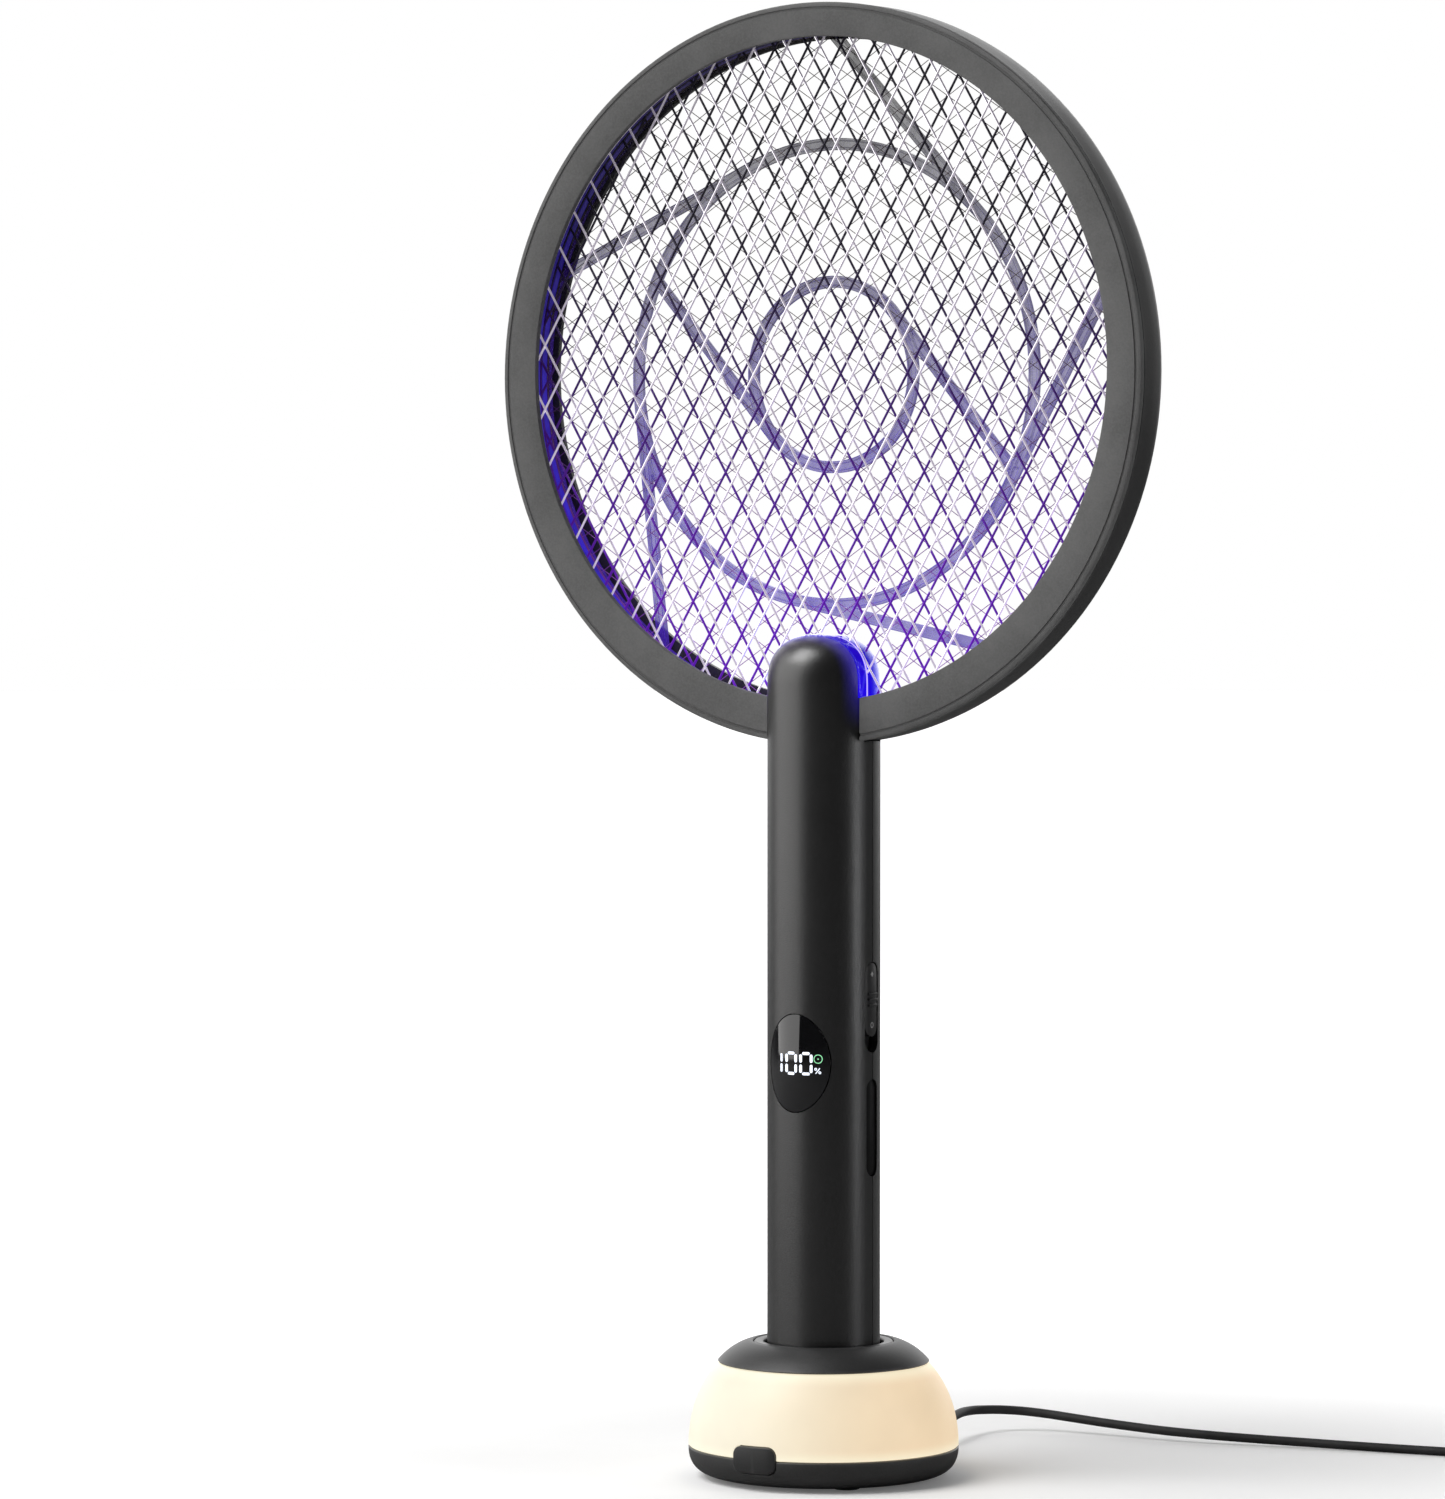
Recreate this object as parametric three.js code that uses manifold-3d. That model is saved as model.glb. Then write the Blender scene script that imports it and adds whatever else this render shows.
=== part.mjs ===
// Electric fly swatter standing in its round charging base, with its charging cable.
// Millimetres, +Z up. The origin is the centre of the base's underside, where its feet stand.
// The front, with the display, faces -Y. The switches are on the +X side and the cable leaves at +Y.
import * as THREE from "three";
import { mergeVertices } from "three/addons/utils/BufferGeometryUtils.js";
import Module from "manifold-3d";

const wasm = await Module();
wasm.setup();

// ---------- driving dimensions ----------

const gap = 0.3; // between neighbours that touch in the real object
const finger = 0.5; // room left around an inner piece that is dropped in by hand

// handle
const handleRadius = 16.5;
const handleWall = 2;
const handleBottom = 10.3;
const handleTop = 246.2;
const domeHeight = 14.6;
const domeSquareness = 2.5; // superellipse exponent of the domed top

// head
const headRadius = 107.5;
const frameFaceWidth = 11.15; // from the head's outer edge in to its opening
const openingLift = 1.3; // the opening sits this far above the frame's own centre
const openingStock = 4; // the frame's rings start this far inside the opening, which is cut last
const pillarRise = 19.55; // the handle's two pillars stand this far above the opening's lowest point
const faceY = -6.2;
const trimThickness = 1.8;
const trimGroove = 0.5;
const headRearY = 8.2;
const rearPlateThickness = 1.9;
const headWall = 2.1;
const headCrown = 0.5; // how far the head's outer wall swells
const wire = 0.8;
const frontGridY = -2.9;
const rimCover = 1.85; // the frame hides this much of a grid before its rim starts
const rimClearance = 0.8; // between a grid's rim and the frame's side wall
const diamondWidth = 11.2;
const diamondHeight = 19;
const frontGridStep = 2; // the model carries every second wire of the front grid
const liveGridStep = 2; // and every second wire of one direction of the live grid
const rearWireSpacing = 15;
const guardThickness = 1.6;
const guardMiddleRadius = 67;
const guardInnerRadius = 27;
const guardRib = 3.5;
const guardSpokes = 5;
const guardInnerSpokeAngle = 41; // degrees

// neck
const neckSide = 4; // from the handle's surface in to the side of the head's neck block
const neckScrewInset = 4.5; // from that side in to the screws
const neckScrewDrop = 6.45; // below the opening's lowest point
const wirePassHalfWidth = 2.5;
const lensWall = 1.8;
const lensSkirt = 12; // how far the lens reaches below the opening before it is cut

// switches and display
const switchSlotTop = 151.1;
const switchSlotHeight = 26.4;
const switchSlotWidth = 7.5;
const switchTravel = 4.5;
const switchKnobHeight = 21.4;
const switchRidge = { rise: 0.5, halfLength: 2.2, halfHeight: 0.45 };
const knobSink = 0.2; // the knob's face lies this far under the handle's surface
const zapSlotTop = 116.9;
const zapSlotHeight = 28.3;
const zapSlotWidth = 6;
const zapTravel = 1;
const zapSink = 0.5;
const skirtInset = 2.1; // from the handle's inner wall in to the skirts behind both slots
const skirtThickness = 1;
const displayZ = 122;
const displayHalfWidth = 10;
const displayHalfHeight = 14.15;

// screws: tip and head are depths under the handle's surface, at the front and at the rear
const screwShank = 1.2;
const screwHead = 2.5;
const bossRadius = 3;
const bossClearance = 2;
const handleScrew = { tip: 4.5, head: 2.9, headHeight: 1.8 };
const neckScrew = { tip: 5.5, head: 4.8, headHeight: 1.6 };
const pilotPastTip = 1;
const handleScrewDrop = 38.7; // from the handle's top down to its upper screw

// end cap, battery and boards
const capThickness = 3;
const contactRadius = 2.2;
const contactSpacing = 6;
const batteryRadius = 9;
const batteryLength = 65;
const springGap = 3.7; // between the end cap and the cell, for its contact
const batteryContact = { halfWidth: 5, halfDepth: 4, thickness: 1.2 };
const boardThickness = 1.5;
const boardDepth = 7; // from the handle's inner wall back to the main board
const boardEdge = 1.186; // between the main board's edges and the handle's inner wall
const transformer = { halfWidth: 8, rearY: 5, bottom: 160, top: 177 };
const capacitor = { halfWidth: 7, rearY: 3, bottom: 181, top: 197 };
const switchStand = 2.2; // from the main board to the two switches
const slideSwitch = { x: 4, depth: 7, halfHeight: 6 };
const tactSwitch = { x: 4, depth: 6.5, halfHeight: 3.2 };
const displayModule = { depth: 4.5, edge: 0.74, halfHeight: 11 };
const ledBoard = { halfWidth: 9, frontY: -2, rearY: 4, drop: 1.5 };
const lamp = { x: 5, halfWidth: 1.8, frontY: -0.6, rearY: 2.6, height: 1.9 };

// base
const baseHeight = 39.9;
const baseSeamRadius = 39.5;
const lowerSeamZ = 9.2;
const baseLean = 8.6; // how far the lit ring leans in from its lower seam to its upper one
const baseCapHeight = 6.35;
const capLip = 1.4; // thickness of the cap's lip around the socket
const lipDepth = 1.6;
const baseWall = 2;
const baseTurnUp = 7; // from the seam in to where the underside turns flat
const baseUnderside = 0.8;
const baseFloor = 1.6;
const socketClearance = 1.1;
const socketWall = 1.5;
const socketLip = 1.2;
const socketFloor = 1.5;
const seatGap = 2.3; // from the socket's floor up to the handle's end
const baseButtonWidth = 14;
const baseButtonHeight = 7.7;
const baseButtonCorner = 2.6;
const baseButtonTravel = 0.8;
const baseButtonFlange = { depth: 4.5, thickness: 0.9, margin: 1.2 };
const baseScrewShank = 1.1;
const baseScrewHead = 2.2;
const baseScrewInset = 4.6; // from the socket's outside in to the base's screws
const basePost = 2.6;
const footRadius = 3.8;
const footInset = 5.5; // from the edge of the flat underside in to the middle of a foot
const chargingPin = 1.2;
const chargingBoardThickness = 1;
const postClearance = 0.9; // between the charging board and the socket's posts
const port = { halfWidth: 4.9, halfHeight: 2.1, depth: 4.1, recess: 3, back: 0.8 };
const lightBoardThickness = 1.2;
const lightBoardRise = 1; // above the lower seam
const lightLampHalfWidth = 2.5;
const lightLampHeight = 1.6;
const weightTop = 6.2;

// charging cable and its plugs
const cableDiameter = 2.8;
const cableZ = 5.6; // height of the charging port
const plugTip = { halfWidth: 4.05, halfHeight: 1.25 };
const plugCBody = { width: 11.6, height: 6.4, endY: 58 };
const plugABody = { width: 15.4, height: 7.6, length: 20, reliefLength: 8 };
const plugATip = { halfWidth: 6, halfHeight: 2.25, length: 12 };
const plugAZ = 4;
const reliefWall = 0.5;
const coilColumns = 4;
const coilLayers = 2;
const coilMeanRadius = 5.5 * cableDiameter;
const coilCentre = { x: 160, y: 153.8 };
const cableRoute = [
  [0, 66.3, 5.6],
  [-0.6, 72, 6.2],
  [-2.2, 79, 7],
  [-4.3, 87, 7.5],
  [-5.6, 96, 7.4],
  [-4.2, 104.6, 6.9],
  [1.5, 111.6, 6.3],
  [10, 114.8, 5.6],
  [19, 115.6, 4.9],
  [29, 115.8, 4.2],
  [40, 115.9, 3.6],
  [51, 116.2, 3.1],
  [63, 117.4, 2.7],
  [77, 120.4, 2.2],
  [93, 124, 1.8],
  [115, 127.6, 1.5],
  [138, 130.6, 1.45],
  [152, 132.8, 1.45],
];

const ringSegments = 48;
const baseSegments = 36;
const handleSegments = 32;
const coilSegments = 40;
const smallSegments = 12;
const far = 200; // longer than any stroke a cut needs

// ---------- places that follow from them ----------

const innerRadius = handleRadius - handleWall;
const domeSpring = handleTop - domeHeight;
const openingRadius = headRadius - frameFaceWidth;
const openingBottomZ = handleTop - pillarRise;
const openingCentreZ = openingBottomZ + openingRadius;
const headCentreZ = openingCentreZ - openingLift;
const seatRadius = headRadius - headWall;
const rimInnerRadius = openingRadius + rimCover;
const rimOuterRadius = seatRadius - rimClearance;
const neckBlockHalfWidth = handleRadius - neckSide;
const neckScrewX = neckBlockHalfWidth - neckScrewInset;
const neckScrewZ = openingBottomZ - neckScrewDrop;
const batteryBottom = handleBottom + capThickness + springGap;
const batteryTop = batteryBottom + batteryLength;
const handleScrewLowerZ = batteryTop + bossClearance + 2 * bossRadius;
const handleScrewUpperZ = handleTop - handleScrewDrop;
const skirtX = innerRadius - skirtInset;

// ---------- materials ----------

function finish(color, roughness, metalness = 0, extra = {}) {
  return new THREE.MeshStandardMaterial({ color, roughness, metalness, ...extra });
}

const frameGrey = finish(0x5f5f5f, 0.6);
const shellBlack = finish(0x3c3c3d, 0.5);
const handleBlack = finish(0x2b2b2c, 0.45);
const glossBlack = finish(0x050506, 0.08);
const wireSteel = finish(0xd8d8dc, 0.3, 1);
const darkWire = finish(0x8d86a8, 0.35, 1);
const smokedClear = finish(0x8f7fd8, 0.2, 0, { transparent: true, opacity: 0.6 });
const violetLens = finish(0x2a1fd0, 0.25, 0, { transparent: true, opacity: 0.75 });
const insulator = finish(0x2f2a55, 0.5);
const boardGreen = finish(0x1f5a37, 0.6);
const lampWhite = finish(0xf4f0e2, 0.35);
const steel = finish(0xb9bcc0, 0.35, 1);
const gold = finish(0xd9b45a, 0.3, 1);
const opal = finish(0xfff0d0, 0.5);
const baseCharcoal = finish(0x3a3a3c, 0.55);
const rubber = finish(0x1d1d1e, 0.85);
const cellWrap = finish(0x2b5fa8, 0.4);
const componentBlack = finish(0x202022, 0.5);
const filmYellow = finish(0xd9a520, 0.45);

// ---------- solids ----------

// A closed geometry as a solid. Lathe profiles may run either way round, so faces are turned outwards here.
function solid(geometry) {
  const bare = geometry.index ? geometry.toNonIndexed() : geometry.clone();
  bare.deleteAttribute("normal");
  bare.deleteAttribute("uv");
  const merged = mergeVertices(bare, 1e-4);
  const vertProperties = new Float32Array(merged.attributes.position.array);
  const triVerts = new Uint32Array(merged.index.array);
  const made = new wasm.Manifold(new wasm.Mesh({ numProp: 3, vertProperties, triVerts }));
  if (made.volume() > 0) return made;
  return new wasm.Manifold(
    new wasm.Mesh({ numProp: 3, vertProperties, triVerts: triVerts.reverse() }),
  );
}

function join(first, ...others) {
  return others.reduce((sum, other) => sum.add(other), first);
}

function cut(first, ...others) {
  return others.reduce((rest, other) => rest.subtract(other), first);
}

// The largest body of a cut solid: what a cut leaves loose is not part of the piece.
function largest(body) {
  return body.decompose().reduce((best, b) => (b.volume() > best.volume() ? b : best));
}

function box(x0, x1, y0, y1, z0, z1) {
  const block = new THREE.BoxGeometry(x1 - x0, y1 - y0, z1 - z0);
  return solid(block.translate((x0 + x1) / 2, (y0 + y1) / 2, (z0 + z1) / 2));
}

function rodZ(radius, z0, z1, x = 0, y = 0, segments = smallSegments) {
  const rod = new THREE.CylinderGeometry(radius, radius, z1 - z0, segments);
  return solid(rod.rotateX(Math.PI / 2).translate(x, y, (z0 + z1) / 2));
}

function rodY(radius, y0, y1, x = 0, z = 0, segments = smallSegments) {
  const rod = new THREE.CylinderGeometry(radius, radius, y1 - y0, segments);
  return solid(rod.translate(x, (y0 + y1) / 2, z));
}

// A profile of [radius, z] points turned about the Z axis.
function turnedZ(profile, segments) {
  const points = profile.map(([r, z]) => new THREE.Vector2(r, z));
  return solid(new THREE.LatheGeometry(points, segments).rotateX(Math.PI / 2));
}

// A profile of [radius, y] points turned about the head's axis, which runs along Y.
function turnedHead(profile) {
  const points = profile.map(([r, y]) => new THREE.Vector2(r, y));
  return solid(new THREE.LatheGeometry(points, ringSegments).translate(0, 0, headCentreZ));
}

// A flat ring about the head's axis.
function headRing(innerRadius, outerRadius, y0, y1) {
  return turnedHead([
    [innerRadius, y0],
    [outerRadius, y0],
    [outerRadius, y1],
    [innerRadius, y1],
    [innerRadius, y0],
  ]);
}

// A flat shape drawn in X and Z, extruded from y0 to y1.
function plateY(shape, y0, y1, curveSegments = 12) {
  const plate = new THREE.ExtrudeGeometry(shape, {
    depth: y1 - y0,
    bevelEnabled: false,
    curveSegments,
  });
  return solid(plate.rotateX(Math.PI / 2).translate(0, y1, 0));
}

// A flat shape drawn in Y and Z, extruded from x0 to x1.
function plateX(shape, x0, x1, curveSegments = 6) {
  const plate = new THREE.ExtrudeGeometry(shape, {
    depth: x1 - x0,
    bevelEnabled: false,
    curveSegments,
  });
  return solid(plate.rotateX(Math.PI / 2).rotateZ(Math.PI / 2).translate(x0, 0, 0));
}

// A rectangle with round corners about (u, v).
function roundedRectangle(u, v, width, height, radius) {
  const w = width / 2 - radius;
  const h = height / 2 - radius;
  const shape = new THREE.Shape();
  shape.absarc(u + w, v + h, radius, 0, Math.PI / 2);
  shape.absarc(u - w, v + h, radius, Math.PI / 2, Math.PI);
  shape.absarc(u - w, v - h, radius, Math.PI, Math.PI * 1.5);
  shape.absarc(u + w, v - h, radius, Math.PI * 1.5, Math.PI * 2);
  shape.closePath();
  return shape;
}

function stadium(u, top, width, height) {
  return roundedRectangle(u, top - height / 2, width, height, width / 2 - 0.001);
}

function ellipse(u, v, halfWidth, halfHeight) {
  return new THREE.Shape().absellipse(u, v, halfWidth, halfHeight, 0, Math.PI * 2);
}

// Points of a quadratic curve, as a profile.
function bend(from, control, to, steps) {
  const curve = new THREE.QuadraticBezierCurve(
    new THREE.Vector2(...from),
    new THREE.Vector2(...control),
    new THREE.Vector2(...to),
  );
  return curve.getPoints(steps).map((p) => [p.x, p.y]);
}

// ---------- the assembly ----------

const swatter = new THREE.Group();
const base = new THREE.Group();
const cable = new THREE.Group();

function piece(group, name, body, material) {
  const source = body.getMesh();
  const geometry = new THREE.BufferGeometry();
  geometry.setAttribute("position", new THREE.BufferAttribute(source.vertProperties, 3));
  geometry.setIndex(new THREE.BufferAttribute(source.triVerts, 1));
  geometry.computeVertexNormals();
  const mesh = new THREE.Mesh(geometry, material);
  mesh.name = name;
  group.add(mesh);
}

// ---------- shared shapes of the handle and the neck ----------

// A round column with a squarish dome on top.
function column(radius, bottom, topRise, grow = 0) {
  const profile = [
    [0, bottom],
    [radius + grow, bottom],
  ];
  const steps = 6;
  for (let i = 0; i < steps; i += 1) {
    const angle = (i / steps) * (Math.PI / 2);
    const across = (radius + grow) * Math.cos(angle) ** (2 / domeSquareness);
    const up = (topRise + grow) * Math.sin(angle) ** (2 / domeSquareness);
    profile.push([across, domeSpring + up]);
  }
  profile.push([0, domeSpring + topRise + grow]);
  return turnedZ(profile, handleSegments);
}

const columnClear = column(handleRadius, openingBottomZ - headRadius / 4, domeHeight, gap);

// The head's opening as a solid disc between two planes, made smaller or larger by grow.
function openingDisc(y0, y1, grow = 0) {
  return rodY(openingRadius + grow, y0, y1, 0, openingCentreZ, ringSegments);
}

// ---------- head ----------

const trimRearY = faceY + trimThickness;
const shellFrontY = trimRearY + trimGroove;
const rearPlateFrontY = headRearY - rearPlateThickness;
const guardRearY = rearPlateFrontY - gap;
const guardFrontY = guardRearY - guardThickness;
const rearGridY = guardFrontY - gap - wire;
const liveGridY = -wire / 2;

function buildTrimRing() {
  const plate = headRing(openingRadius - openingStock, headRadius, faceY, trimRearY);
  const lip = headRing(rimInnerRadius, seatRadius - gap, trimRearY - 0.1, frontGridY - gap);
  const opening = openingDisc(faceY - 1, trimRearY + 0.01);
  return largest(cut(join(cut(plate, opening), lip), columnClear));
}

// Parallel wires at one slope, each reaching the middle of the grid's rim.
function wireFamily(y0, slope, spacing, phase) {
  const reach = rimInnerRadius + 1;
  const count = Math.ceil(reach / spacing);
  const wires = [];
  for (let k = -count; k <= count; k += 1) {
    const offset = (k + phase) * spacing;
    const half = Math.sqrt(Math.max(0, reach * reach - offset * offset));
    if (half > spacing) {
      const bar = new THREE.BoxGeometry(2 * half, wire, wire).translate(0, 0, offset);
      bar.rotateY(-slope).translate(0, y0 + wire / 2, headCentreZ);
      wires.push(solid(bar));
    }
  }
  return wires;
}

function gridOf(y0, wires) {
  const rim = headRing(rimInnerRadius, rimOuterRadius, y0, y0 + wire);
  return largest(cut(join(rim, ...wires), columnClear));
}

const diamondSlope = Math.atan2(diamondHeight, diamondWidth);
const diamondSpacing = diamondWidth * Math.sin(diamondSlope);

function spacerRing(y0, y1) {
  return largest(cut(headRing(rimInnerRadius, rimOuterRadius, y0, y1), columnClear));
}

// A straight rib in the head's plane, from one point to another, given as [x, z] about the head's axis.
function rib(from, to, y0, y1) {
  const [dx, dz] = [to[0] - from[0], to[1] - from[1]];
  const bar = new THREE.BoxGeometry(Math.hypot(dx, dz), y1 - y0, guardRib);
  bar.rotateY(-Math.atan2(dz, dx));
  const middle = [(from[0] + to[0]) / 2, (y0 + y1) / 2, headCentreZ + (from[1] + to[1]) / 2];
  return solid(bar.translate(...middle));
}

function polar(radius, angle) {
  return [radius * Math.cos(angle), radius * Math.sin(angle)];
}

// Swirl spokes leave an outer ring and meet the next ring in along its tangent.
function swirl(outerRadius, ringRadius, startAngle) {
  const sweep = Math.acos(ringRadius / outerRadius);
  const outer = polar(outerRadius, startAngle);
  const touch = polar(ringRadius, startAngle - sweep);
  return rib(outer, touch, guardFrontY, guardRearY);
}

function buildRearGuard() {
  const half = guardRib / 2;
  const rings = [
    headRing(rimInnerRadius, rimOuterRadius, guardFrontY, guardRearY),
    headRing(guardMiddleRadius - half, guardMiddleRadius + half, guardFrontY, guardRearY),
    headRing(guardInnerRadius - half, guardInnerRadius + half, guardFrontY, guardRearY),
  ];
  const outerSpokes = [];
  for (let i = 0; i < guardSpokes; i += 1) {
    const start = Math.PI / 2 + (i * 2 * Math.PI) / guardSpokes;
    outerSpokes.push(swirl(rimInnerRadius + 1, guardMiddleRadius, start));
  }
  const innerSpokes = [0, Math.PI].map((turn) => {
    const sweep = Math.acos(guardInnerRadius / guardMiddleRadius);
    const touch = THREE.MathUtils.degToRad(guardInnerSpokeAngle) + turn;
    const from = polar(guardMiddleRadius, touch - sweep);
    return rib(from, polar(guardInnerRadius, touch), guardFrontY, guardRearY);
  });
  return largest(cut(join(...rings, ...outerSpokes, ...innerSpokes), columnClear));
}

function neckScrewHoles(radius) {
  return [-1, 1].map((side) => rodY(radius, -far, far, side * neckScrewX, neckScrewZ));
}

function buildHeadShell() {
  const edge = headRearY;
  const stock = openingRadius - openingStock;
  const channel = turnedHead([
    [headRadius - headCrown, shellFrontY],
    [headRadius - headCrown / 3, shellFrontY + 1.6],
    [headRadius, shellFrontY + 4.6],
    [headRadius, edge - 3.4],
    [headRadius - 0.3, edge - 1.6],
    [headRadius - 1.3, edge - 0.4],
    [headRadius - 2.9, edge],
    [stock, edge],
    [stock, rearPlateFrontY],
    [seatRadius, rearPlateFrontY],
    [seatRadius, shellFrontY],
    [headRadius - headCrown, shellFrontY],
  ]);
  const block = headRing(stock, headRadius - 1, shellFrontY, rearPlateFrontY + 0.1);
  const neck = block.intersect(
    box(-neckBlockHalfWidth, neckBlockHalfWidth, -far, far, 0, headCentreZ),
  );
  const halfPass = wirePassHalfWidth;
  const wirePass = box(-halfPass, halfPass, -1, 2, headCentreZ - headRadius - 2, handleTop);
  const opening = openingDisc(-far, far);
  return cut(join(channel, neck), opening, wirePass, ...neckScrewHoles(screwShank + gap));
}

function buildLens() {
  const front = faceY + gap / 2;
  const bottom = openingBottomZ - lensSkirt;
  const outer = column(handleRadius, bottom, domeHeight);
  const inner = column(handleRadius - lensWall, bottom - 1, domeHeight - lensWall);
  const slice = box(-far, far, front, headRearY, 0, handleTop + 1);
  const hollow = box(-far, far, front + lensWall, headRearY - lensWall, 0, handleTop);
  const shell = cut(outer.intersect(slice), inner.intersect(hollow));
  return shell.intersect(openingDisc(-far, far, -gap));
}

piece(swatter, "front_trim_ring", buildTrimRing(), frameGrey);
const frontWires = [1, -1].flatMap((sign) =>
  wireFamily(frontGridY, sign * diamondSlope, frontGridStep * diamondSpacing, 0),
);
const liveWires = wireFamily(liveGridY, diamondSlope, liveGridStep * diamondSpacing, 0.5);
const rearWires = wireFamily(rearGridY, 0, rearWireSpacing, 0.5);
piece(swatter, "front_grid", gridOf(frontGridY, frontWires), wireSteel);
piece(
  swatter,
  "front_spacer_ring",
  spacerRing(frontGridY + wire + gap, liveGridY - gap),
  insulator,
);
piece(swatter, "high_voltage_grid", gridOf(liveGridY, liveWires), darkWire);
piece(swatter, "rear_spacer_ring", spacerRing(-liveGridY + gap, rearGridY - gap), insulator);
piece(swatter, "rear_grid", gridOf(rearGridY, rearWires), darkWire);
piece(swatter, "rear_guard", buildRearGuard(), smokedClear);
piece(swatter, "head_shell", buildHeadShell(), shellBlack);
piece(swatter, "uv_lens", buildLens(), violetLens);

const ledBoardZ = domeSpring - ledBoard.drop;
const ledBoardTop = ledBoardZ + boardThickness;
const ledBoardBody = box(
  -ledBoard.halfWidth,
  ledBoard.halfWidth,
  ledBoard.frontY,
  ledBoard.rearY,
  ledBoardZ,
  ledBoardTop,
);
piece(swatter, "uv_led_board", ledBoardBody, boardGreen);
for (const [side, sign] of [["left", -1], ["right", 1]]) {
  const [x0, x1] = [sign * lamp.x - lamp.halfWidth, sign * lamp.x + lamp.halfWidth];
  const z0 = ledBoardTop + gap;
  piece(swatter, `uv_led_${side}`, box(x0, x1, lamp.frontY, lamp.rearY, z0, z0 + lamp.height), lampWhite);
}

// ---------- handle ----------

const seamY = gap / 2;

// A slot through the handle's side wall.
function sideSlot(top, width, height) {
  return plateX(stadium(0, top, width, height), innerRadius - 3, handleRadius + 2);
}

function handleScrewHoles(radius, y0, y1) {
  return [handleScrewLowerZ, handleScrewUpperZ].map((z) => rodY(radius, y0, y1, 0, z));
}

// The screws' bosses, kept inside the handle's own round.
function bosses(y0, y1, neckY0, neckY1) {
  const round = rodZ(handleRadius - gap, 0, handleTop, 0, 0, handleSegments);
  const neck = [-1, 1].map((side) => rodY(bossRadius, neckY0, neckY1, side * neckScrewX, neckScrewZ));
  return [...handleScrewHoles(bossRadius, y0, y1), ...neck].map((boss) => boss.intersect(round));
}

function shellHalf(y0, y1) {
  const outer = column(handleRadius, handleBottom, domeHeight);
  const inner = column(innerRadius, handleBottom - 1, domeHeight - handleWall);
  const half = box(-far, far, y0, y1, 0, handleTop + 1);
  return cut(outer, inner).intersect(half);
}

const frameClear = headRadius + gap;
const frontPillarBack = trimRearY + gap;
const rearPillarFront = headRearY + gap;

function buildFrontShell() {
  const frame = rodY(frameClear, frontPillarBack, far, 0, headCentreZ, ringSegments);
  const lensSeat = openingDisc(faceY - gap / 2, far);
  const body = join(
    shellHalf(-far, -seamY),
    ...bosses(1 - handleRadius, -seamY, 1 - handleRadius, frontPillarBack),
  );
  const pilot = screwShank + gap;
  const neckPilotY = neckScrew.tip - pilotPastTip - handleRadius;
  const displayHole = ellipse(0, displayZ, displayHalfWidth + gap, displayHalfHeight + gap);
  return cut(
    body,
    frame,
    lensSeat,
    sideSlot(switchSlotTop, switchSlotWidth, switchSlotHeight),
    sideSlot(zapSlotTop, zapSlotWidth, zapSlotHeight),
    plateY(displayHole, -handleRadius - 3, -innerRadius / 2, 16),
    ...handleScrewHoles(pilot, handleScrew.tip - pilotPastTip - handleRadius, far),
    ...neckScrewHoles(pilot).map((hole) => hole.intersect(box(-far, far, neckPilotY, far, 0, handleTop))),
  );
}

const screwHeadY = handleRadius - handleScrew.head;
const neckHeadY = handleRadius - neckScrew.head;

function buildRearShell() {
  const frame = rodY(frameClear, -far, rearPillarFront, 0, headCentreZ, ringSegments);
  const body = join(
    shellHalf(seamY, far),
    ...bosses(seamY, handleRadius - 1, rearPillarFront, handleRadius - 1),
  );
  const headHole = screwHead + gap;
  return cut(
    body,
    frame,
    sideSlot(switchSlotTop, switchSlotWidth, switchSlotHeight),
    sideSlot(zapSlotTop, zapSlotWidth, zapSlotHeight),
    ...handleScrewHoles(screwShank + gap, -far, far),
    ...neckScrewHoles(screwShank + gap),
    ...handleScrewHoles(headHole, screwHeadY - gap, far),
    ...neckScrewHoles(headHole).map((hole) =>
      hole.intersect(box(-far, far, neckHeadY - gap, far, 0, handleTop)),
    ),
  );
}

function screw(x, z, kind) {
  const headY = handleRadius - kind.head;
  return join(
    rodY(screwShank, kind.tip - handleRadius, headY + 0.1, x, z),
    rodY(screwHead, headY, headY + kind.headHeight, x, z),
  );
}

piece(swatter, "handle_front_shell", buildFrontShell(), handleBlack);
piece(swatter, "handle_rear_shell", buildRearShell(), handleBlack);
piece(swatter, "handle_screw_lower", screw(0, handleScrewLowerZ, handleScrew), steel);
piece(swatter, "handle_screw_upper", screw(0, handleScrewUpperZ, handleScrew), steel);
piece(swatter, "neck_screw_left", screw(-neckScrewX, neckScrewZ, neckScrew), steel);
piece(swatter, "neck_screw_right", screw(neckScrewX, neckScrewZ, neckScrew), steel);

// end cap with two charging contacts
const contacts = [
  ["left", -contactSpacing],
  ["right", contactSpacing],
];
const endCap = cut(
  rodZ(innerRadius - gap, handleBottom, handleBottom + capThickness, 0, 0, handleSegments),
  ...contacts.map(([, x]) => rodZ(contactRadius + gap, 0, far, x)),
);
piece(swatter, "handle_end_cap", endCap, handleBlack);
for (const [side, x] of contacts) {
  const pad = rodZ(contactRadius, handleBottom - gap, handleBottom + capThickness + 0.5, x);
  piece(swatter, `charge_contact_${side}`, pad, gold);
}

// battery
function batteryContactPlate(z0, z1) {
  const { halfWidth, halfDepth } = batteryContact;
  return box(-halfWidth, halfWidth, -halfDepth, halfDepth, z0, z1);
}
const cell = rodZ(batteryRadius, batteryBottom, batteryTop, 0, 0, 24);
const bottomContact = batteryContactPlate(handleBottom + capThickness + 1, batteryBottom - gap);
const topContact = batteryContactPlate(batteryTop + gap, batteryTop + gap + batteryContact.thickness);
piece(swatter, "battery_cell", cell, cellWrap);
piece(swatter, "battery_contact_bottom", bottomContact, steel);
piece(swatter, "battery_contact_top", topContact, steel);

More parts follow.
